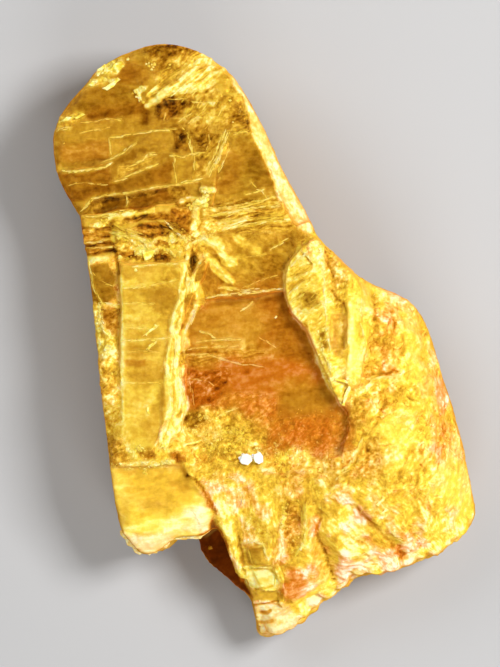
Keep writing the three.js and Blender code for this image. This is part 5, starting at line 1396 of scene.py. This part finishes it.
FLAKES: tuple[Flake, ...] = (
    Flake(Tone.CREAM, 0.22, (0.1, 0.1), xy(-14.2, 22.15, -14.05, 22.7, -13.5, 23.05, -13.2, 22.7,
          -13.5, 22.3)),
    Flake(Tone.LEMON, 0.16, (0.1, 0.1), xy(-13.1, 22.5, -12.7, 23, -12, 23.3, -11.8, 22.9, -12.2, 22.5)),
    Flake(Tone.CREAM, 0.16, (0.1, 0), xy(-14.9, 21.3, -14.5, 21.7, -14.2, 21.6, -14.3, 21.15)),
    Flake(Tone.CREAM, 0.16, (0.1, 0), xy(-13.6, 21, -12.9, 21.5, -12.3, 21.95, -12.1, 21.75, -12.7, 21.2,
          -13.2, 20.9)),
    Flake(Tone.CREAM, 0.14, (0, 0.1), xy(-17, 18.3, -16.7, 18.7, -16.1, 18.7, -16.5, 18.25)),
    Flake(Tone.LEMON, 0.12, (0, 0.1), xy(-16, 18.6, -15.2, 19, -15.1, 18.8, -15.8, 18.4)),
    Flake(Tone.CHALK, 0.7, (0, 0.15), xy(-12.3, -15.9, -12.05, -16.5, -11.75, -16.7, -11.6, -17.2,
          -11.25, -17.3, -11, -17.85, -10.6, -18, -10.2, -17.85, -9.8, -18, -9.2, -17.8, -9, -17.4,
          -8.4, -17.35, -8.1, -17, -8.1, -16.6, -9.5, -16.4, -11, -16.2)),
    Flake(Tone.CHALK, 0.6, (0, 0.15), xy(-8.3, -16.2, -7.9, -16.7, -7.2, -16.6, -6.8, -16.75, -6.2, -16.55,
          -5.5, -16.6, -5.1, -16.2, -4.7, -15.9, -4.9, -15.5, -6, -15.8, -7.2, -16)),
    Flake(Tone.LEMON, 0.16, (0, 0), xy(-10.3, 7.4, -9.2, 7.6, -9.5, 6.9, -10.1, 6.6)),
    Flake(Tone.CREAM, 0.25, (0.1, 0), xy(-5.9, 11.4, -5, 12, -4.9, 11.6, -5.6, 11.2)),
    Flake(Tone.LEMON, 0.2, (0, 0.1), xy(-5.4, 12.6, -5, 12.8, -4.3, 12.6, -4.6, 12.3)),
    Flake(Tone.CREAM, 0.12, (0, 0), xy(-10.1, 0.5, -9.2, 1.4, -8.95, 1.3, -9.9, 0.45)),
    Flake(Tone.LEMON, 0.12, (0, 0), xy(-9.9, -0.65, -9.4, -0.1, -9.2, -0.2, -9.7, -0.7)),
    Flake(Tone.LEMON, 0.12, (0, 0), xy(-9.95, -5.4, -9.75, -5.4, -9.6, -6.15, -9.8, -6.1)),
    # A splinter at the shard's foot, painted white where it glints: partly painted highlight.
    Flake(Tone.WHITE, 0.35, (0, 0.15), xy(6.2, -5.35, 6.45, -4.4, 6.85, -3.6, 7.2, -3.1, 7.4, -3.25,
          7.1, -3.75, 6.75, -4.5, 6.5, -5.35)),
    Flake(Tone.CREAM, 0.25, (0, 0), xy(5.7, -3, 6.4, -3.2, 7, -3.4, 6.95, -3.6, 6.3, -3.45, 5.7, -3.2)),
    Flake(Tone.CREAM, 0.25, (0, 0), xy(5, -3.2, 5.8, -4.45, 6.2, -5.25, 6.45, -5.4, 6.1, -4.5, 5.3, -3.2)),
    # Two white bars on the fan: thin flakes painted white where they glint, a painted highlight.
    Flake(Tone.WHITE, 0.2, (0.1, 0), xy(9.1, -13.65, 9.7, -12.9, 9.95, -13, 9.35, -13.75)),
    Flake(Tone.WHITE, 0.2, (0.1, 0), xy(9.4, -14.35, 10, -13.85, 10.2, -14, 9.6, -14.5)),
    Flake(Tone.WHITE, 0.2, (0.1, 0), xy(12.5, -8.6, 13, -8.2, 13.15, -8.35, 12.7, -8.75)),
    Flake(Tone.CREAM, 0.2, (0.1, 0), xy(-8.8, -8.9, -8.2, -7.4, -7.75, -7.5, -8.2, -8.8)),
    Flake(Tone.CREAM, 0.2, (0, 0), xy(-7.4, -9.05, -6.5, -8.7, -5.5, -8.4, -5.5, -8.2, -6.6, -8.45,
          -7.4, -8.8)),
    # Two white knobs: pale mineral, painted pure white where they glint, a painted highlight.
    Flake(Tone.GLINT_WHITE, 0.55, (0.1, 0), xy(-2.15, -9.9, -2, -9.5, -1.6, -9.35, -1.25, -9.5, -1.2, -9.95,
          -1.5, -10.25, -1.95, -10.2)),
    Flake(Tone.GLINT_WHITE, 0.55, (-0.1, 0.1), xy(-1.05, -9.85, -0.95, -9.4, -0.55, -9.2, -0.2, -9.5, -0.25, -10,
          -0.65, -10.2)),
    Flake(Tone.CREAM, 0.2, (0, 0), xy(1.2, -15.2, 1.5, -14.6, 1.7, -14.7, 1.5, -15.3)),
)


@dataclass(frozen=True)
class Form:
    """The form of a small piece, around its own middle or in place.

    Attributes:
        points: Its corners, in millimetres.
        faces: Its faces, as the numbers of their corners.
    """

    points: tuple[Vector, ...]
    faces: tuple[tuple[int, ...], ...]

    @classmethod
    def taken(cls, bm: bmesh.types.BMesh) -> "Form":
        """Takes the form that was modelled in a bmesh, and frees it.

        Args:
            bm: The model, in millimetres.

        Returns:
            The form.
        """
        bmesh.ops.recalc_face_normals(bm, faces=bm.faces)
        bm.verts.index_update()
        corners = tuple(v.co.copy() for v in bm.verts)
        form = cls(corners, tuple(tuple(v.index for v in f.verts) for f in bm.faces))
        bm.free()
        return form

    @classmethod
    def crumb(cls, chance: random.Random) -> "Form":
        """Models a grain a unit wide that is broken all round.

        Args:
            chance: Chooses how it is broken.

        Returns:
            The form.
        """
        bm = bmesh.new()
        bmesh.ops.create_icosphere(bm, subdivisions=1, radius=0.5)
        for vertex in bm.verts:
            vertex.co += Vector(chance.uniform(-0.13, 0.13) for _ in range(3))
        return cls.taken(bm)

    @classmethod
    def sliver(cls, chance: random.Random) -> "Form":
        """Models a splinter a unit long and wide along X, with pointed ends.

        Args:
            chance: Chooses how it is broken.

        Returns:
            The form.
        """
        bm = bmesh.new()
        turn = Matrix.Rotation(math.pi / 2, 4, "Y")
        bmesh.ops.create_uvsphere(bm, u_segments=5, v_segments=4, radius=0.5, matrix=turn)
        for vertex in bm.verts:
            vertex.co += Vector(chance.uniform(-0.09, 0.09) for _ in range(3))
        return cls.taken(bm)


@dataclass
class Heap:
    """Many small closed pieces in one mesh.

    Attributes:
        points: The corners of all the pieces, in millimetres.
        faces: Their faces.
        rows: The level, warmth, clearness, faceting and mottle at each corner.
    """

    points: list[Vector] = field(default_factory=list)
    faces: list[tuple[int, ...]] = field(default_factory=list)
    rows: list[tuple[float, ...]] = field(default_factory=list)

    def add(self, form: Form, place: Matrix, row: tuple[float, ...]) -> None:
        """Adds a piece.

        Args:
            form: Its form.
            place: Where it goes, and how it is turned and stretched.
            row: Its level, warmth, clearness, faceting and mottle.
        """
        first = len(self.points)
        self.points.extend(place @ point for point in form.points)
        self.faces.extend(tuple(first + i for i in face) for face in form.faces)
        self.rows.extend([row] * len(form.points))

    def build(self, name: str) -> bpy.types.Object:
        """Builds the mesh.

        Args:
            name: The name of the object.

        Returns:
            The object.
        """
        mesh = bpy.data.meshes.new(name)
        mesh.from_pydata([point * MM for point in self.points], [], self.faces)
        for column, field_name in enumerate(("level", "warmth", "clear", "facet", "mottle")):
            store(mesh, field_name, np.array([row[column] for row in self.rows]))
        store(mesh, "fleck", np.array(self.points) * 2)
        mesh.update()
        return placed(name, mesh)


class Ground:
    """The finished stone, as the ground that the small pieces lie on."""

    def __init__(self, body: bpy.types.Object, stone: Stone) -> None:
        """Takes the stone.

        Args:
            body: The object of the stone's body.
            stone: The stone, which knows its own tones.
        """
        self.body = body
        self.stone = stone
        self.tree = BVHTree.FromObject(body, bpy.context.evaluated_depsgraph_get())

    def touch(self, x: float, y: float) -> tuple[Vector, Vector, float, float] | None:
        """Finds the stone under a place in plan.

        Args:
            x: The place along X in millimetres.
            y: The place along Y in millimetres.

        Returns:
            The point in millimetres, the face's direction, and the stone's level and warmth of tone there, or
            None beside the stone.
        """
        spot, normal, face, _ = self.tree.ray_cast(Vector((x * MM, y * MM, 20 * MM)), Vector((0, 0, -1)))
        if spot is None:
            return None
        corner = self.body.data.polygons[face].vertices[0]
        return spot / MM, normal, float(self.stone.level[corner]), float(self.stone.warmth[corner])

    def lie(
        self, x: float, y: float, heading: float, size: Triple, sunk: float
    ) -> tuple[Matrix, float, float] | None:
        """Lays a small piece on the stone.

        Args:
            x: The place along X in millimetres.
            y: The place along Y in millimetres.
            heading: The direction of its length in degrees.
            size: Its length, width and height in millimetres.
            sunk: How much of its height is in the stone, from -0.5 for none to 0.5 for all.

        Returns:
            Its placing, and the level and warmth of the stone under it, or None where it can't lie.
        """
        ahead = Vector((math.cos(math.radians(heading)), math.sin(math.radians(heading)), 0))
        reach = 0.5 * size[0] * ahead
        touched, *ends = (self.touch(x + step * reach.x, y + step * reach.y) for step in (0, -1, 1))
        if touched is None or touched[1].z < 0.35:  # there is no stone here, or it is too steep
            return None
        step = 0.3 + 0.2 * size[0]  # a piece whose end is higher or lower than this would hang in the air
        if any(end is None or abs(end[0].z - touched[0].z) > step for end in ends):
            return None
        spot, up, level, warmth = touched
        side = up.cross(ahead).normalized()
        ahead = side.cross(up)
        turn = Matrix((ahead, side, up)).transposed().to_4x4()
        stretch = Matrix.Diagonal((*size, 1))
        return Matrix.Translation(spot - up * sunk * size[2]) @ turn @ stretch, level, warmth


@dataclass
class Debris:
    """The crumbs, splinters and flakes on the upper face.

    Attributes:
        ground: What they lie on.
        seed: Chooses where the strewn ones fall.
        sunk: How deep a strewn one sits in the stone, from -0.5 for not at all to 0.5 for all of it.
        chance: The run of chance that all of them share.
    """

    ground: Ground
    seed: int = 5
    sunk: float = 0.15
    chance: random.Random = field(init=False)

    def __post_init__(self) -> None:
        """Starts the run of chance."""
        self.chance = random.Random(self.seed)

    def strewn(self, shape: Shape) -> bpy.types.Object:
        """Builds all the strewn pieces of one form.

        Args:
            shape: The form.

        Returns:
            Their object.
        """
        groups, model = {Shape.CRUMB: (CRUMBS, Form.crumb), Shape.SLIVER: (SLIVERS, Form.sliver)}[shape]
        forms = [model(self.chance) for _ in range(8)]
        heap = Heap()
        for group in groups:
            for index in range(group.count):
                at, heading = self.spot(group, index)
                length = group.length * self.chance.uniform(0.6, 1.45)
                width = length * group.slim * self.chance.uniform(0.7, 1.3)
                size = (length, width, width * self.chance.uniform(0.5, 0.9))
                self.lay(heap, self.chance.choice(forms), at, heading, size, group.pale)
        if shape is Shape.SLIVER:
            for line in (entry for entry in LINES if entry.depth < 1 and entry.width <= NARROW):
                self.edge(heap, forms, line)
        return heap.build(shape.value)

    def lay(self, heap: Heap, form: Form, at: Point, heading: float, size: Triple, pale: float) -> None:
        """Lays one piece into a heap, part of the way from the stone's tone there to a pale one.

        Args:
            heap: The heap.
            form: The piece's form.
            at: Its place in plan.
            heading: The direction of its length in degrees.
            size: Its length, width and height in millimetres.
            pale: How far from the stone's level of tone to a pale one it is, from 0 to 1.
        """
        laid = self.ground.lie(*at, heading, size, self.sunk)
        if laid is None:
            return
        place, level, warmth = laid
        shade = level + pale * self.chance.uniform(0.5, 1.3) * max(0.0, PALEST - level)
        heap.add(form, place, (shade, (1 - 0.7 * pale) * warmth, -0.8, 0.2, 0.06))

    def spot(self, group: Strewn, index: int) -> tuple[Point, float]:
        """Chooses a place and a heading for a strewn piece.

        Args:
            group: Its group.
            index: Its number in the group.

        Returns:
            The place in plan and the heading in degrees.
        """
        stray = group.spread * 0.6
        if group.spread == 0:
            at, course = group.places[index % len(group.places)], 0.0
        elif group.spread < 0:
            at, course = self.inside(group.places), 0.0
        else:
            at, course = self.along(group.places, self.chance.random())
            at = (at[0] + self.chance.gauss(0, stray), at[1] + self.chance.gauss(0, stray))
        if group.angle == ANY:
            return at, self.chance.uniform(0, 180)
        if group.angle == ALONG:
            return at, course + self.chance.gauss(0, 5)
        if group.angle == FAN:
            rows = np.array([at, (at[0], at[1] - 0.5)])
            foot = fan_place(rows)
            spread = (foot[1] - foot[0]) / 0.5
            return at, math.degrees(math.atan2(-1.0, spread)) + self.chance.gauss(0, 5)
        return at, group.angle + self.chance.gauss(0, 11)

    def inside(self, outline: Path) -> Point:
        """Chooses a place inside an outline.

        Args:
            outline: The corners of the outline.

        Returns:
            The place.
        """
        low, high = np.min(outline, axis=0), np.max(outline, axis=0)
        while True:
            at = (self.chance.uniform(low[0], high[0]), self.chance.uniform(low[1], high[1]))
            if inside_distance(np.array([at]), outline)[0] > 0:
                return at

    @staticmethod
    def along(path: Path, share: float) -> tuple[Point, float]:
        """Finds a place on a path.

        Args:
            path: The corners of the path.
            share: How far along it is, from 0 to 1.

        Returns:
            The place and the path's direction there in degrees.
        """
        lengths = [math.dist(start, end) for start, end in zip(path, path[1:])]
        left = share * sum(lengths)
        for start, end, length in zip(path, path[1:], lengths):
            if left <= length or end is path[-1]:
                break
            left -= length
        along, up = end[0] - start[0], end[1] - start[1]
        part = left / length
        return (start[0] + along * part, start[1] + up * part), math.degrees(math.atan2(up, along))

    def edge(self, heap: Heap, forms: list[Form], line: Line) -> None:
        """Sets splinters end to end along the bright edge of a cleavage step. Their paleness is partly the
        fractured mineral and partly painted highlight.

        Args:
            heap: The heap of splinters.
            forms: The splinters' forms.
            line: The line of the edge.
        """
        length = sum(math.dist(start, end) for start, end in zip(line.path, line.path[1:]))
        count = max(2, round(length / 0.2))
        for index in range(count):
            if self.chance.random() < line.broken:
                continue
            (x, y), course = self.along(line.path, (index + self.chance.random()) / count)
            at = (x + self.chance.gauss(0, 0.04), y + self.chance.gauss(0, 0.04))
            width = min(0.16, 0.5 * line.width) * self.chance.uniform(0.6, 1.3)
            size = (self.chance.uniform(0.35, 0.9), width, 0.6 * width)
            form, heading = self.chance.choice(forms), course + self.chance.gauss(0, 6)
            self.lay(heap, form, at, heading, size, 1 - line.depth)

    def flakes(self) -> bpy.types.Object:
        """Builds the thin plates that lie on the stone.

        Returns:
            Their object.
        """
        heap = Heap()
        for flake in FLAKES:
            middle = np.mean(flake.outline, axis=0)
            touched = [t for t in (self.ground.touch(*at) for at in (*flake.outline, tuple(middle))) if t]
            level = sum(t[0].z for t in touched) / len(touched)
            bm = bmesh.new()
            corners = []
            for x, y in self.ragged(flake.outline):
                rise = (x - middle[0]) * flake.lean[0] + (y - middle[1]) * flake.lean[1]
                corners.append(bm.verts.new((x, y, level + rise - 0.5 * flake.thick)))
            face = bm.faces.new(corners)
            top = bmesh.ops.extrude_face_region(bm, geom=[face])["geom"]
            raised = [v for v in top if isinstance(v, bmesh.types.BMVert)]
            bmesh.ops.translate(bm, verts=raised, vec=(0, 0, flake.thick + 0.04))
            rim = [e for e in top if isinstance(e, bmesh.types.BMEdge)]
            bmesh.ops.bevel(bm, geom=rim, offset=0.05, offset_type="OFFSET", segments=1, profile=0.5,
                            affect="EDGES", material=-1)
            heap.add(Form.taken(bm), Matrix.Identity(4), (*flake.tone.value, -0.6, 0.5, 0.1))
        return heap.build("flakes")

    def ragged(self, outline: Path) -> list[Point]:
        """Breaks the sides of an outline into short uneven ones.

        Args:
            outline: The corners of the outline.

        Returns:
            The corners of the uneven outline.
        """
        result = []
        for start, end in zip(outline, outline[1:] + outline[:1]):
            pieces = max(1, round(math.dist(start, end) / 0.35))
            for index in range(pieces):
                share = index / pieces
                result.append((start[0] + (end[0] - start[0]) * share + self.chance.uniform(-0.07, 0.07),
                               start[1] + (end[1] - start[1]) * share + self.chance.uniform(-0.07, 0.07)))
        return result

    def build(self) -> list[bpy.types.Object]:
        """Builds all the small pieces.

        Returns:
            One object for each kind.
        """
        return [self.strewn(Shape.CRUMB), self.strewn(Shape.SLIVER), self.flakes()]


# ---- The studio ----


@dataclass
class Studio:
    """A pale floor, soft light from the right and a camera that looks straight down.

    Attributes:
        camera_height: The camera's height over the floor in millimetres.
        centre: Where it looks, in plan, in millimetres.
        view_width: How wide its view is in millimetres at the level of the upper face.
        face_level: The level of the upper face in millimetres.
    """

    camera_height: float = 330.0
    centre: Point = (-1.33, 0.63)
    view_width: float = 41.67
    face_level: float = 9.0

    def build(self) -> None:
        """Builds the floor, the lights, the world and the camera."""
        scene = bpy.context.scene
        mesh = bpy.data.meshes.new("floor")
        bm = bmesh.new()
        bmesh.ops.create_grid(bm, x_segments=2, y_segments=2, size=600 * MM)
        bm.to_mesh(mesh)
        bm.free()
        paper = bpy.data.materials.new("matt_paper")
        paper.use_nodes = True
        surface = paper.node_tree.nodes["Principled BSDF"].inputs
        surface["Base Color"].default_value = (*linear("#AFAFB0"), 1)
        surface["Roughness"].default_value = 0.9
        mesh.materials.append(paper)
        placed("floor", mesh)
        self.light("key", (150, 60, 215), 90, 0.78)
        self.light("fill", (-160, 150, 160), 220, 0.4)
        self.light("foot", (40, -200, 150), 160, 0.36)
        world = bpy.data.worlds.new("studio")
        world.use_nodes = True
        sky = world.node_tree.nodes["Background"].inputs
        sky["Color"].default_value = (*linear("#F6E8CC"), 1)
        sky["Strength"].default_value = 0.1
        scene.world = world
        scene.view_settings.view_transform = "Standard"
        data = bpy.data.cameras.new("camera")
        data.sensor_width = 36.0
        data.sensor_fit = "HORIZONTAL"
        data.lens = 36.0 * (self.camera_height - self.face_level) / self.view_width
        data.clip_start = 0.01
        scene.camera = placed("camera", data)
        scene.camera.location = (self.centre[0] * MM, self.centre[1] * MM, self.camera_height * MM)

    @staticmethod
    def light(name: str, place: Triple, size: float, power: float) -> None:
        """Adds a square soft light that faces the specimen.

        Args:
            name: Its name.
            place: Where it is, in millimetres.
            size: Its side, in millimetres.
            power: Its power in watts.
        """
        data = bpy.data.lights.new(name, "AREA")
        data.size = size * MM
        data.energy = power
        lamp = placed(name, data)
        lamp.location = Vector(place) * MM
        lamp.rotation_euler = Vector(place).to_track_quat("Z", "Y").to_euler()


def finish_piece(piece: bpy.types.Object, material: bpy.types.Material) -> None:
    """Gives a piece its material and its body, and reports it.

    Args:
        piece: The piece.
        material: Its material.
    """
    piece.data.materials.append(material)
    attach(piece, BODY)
    log.info("%s: %d faces", piece.name, len(piece.data.polygons))


def main() -> None:
    """Builds the studio and the dressed specimen."""
    logging.basicConfig(level=logging.INFO, format="%(name)s: %(message)s")
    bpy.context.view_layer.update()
    Studio().build()
    orpiment = OrpimentFinish().build()
    stone = Stone()
    body = stone.build()
    finish_piece(body, orpiment)
    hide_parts(NODE)
    for piece in Debris(Ground(body, stone)).build():
        finish_piece(piece, orpiment)


if __name__ == "__main__":
    main()
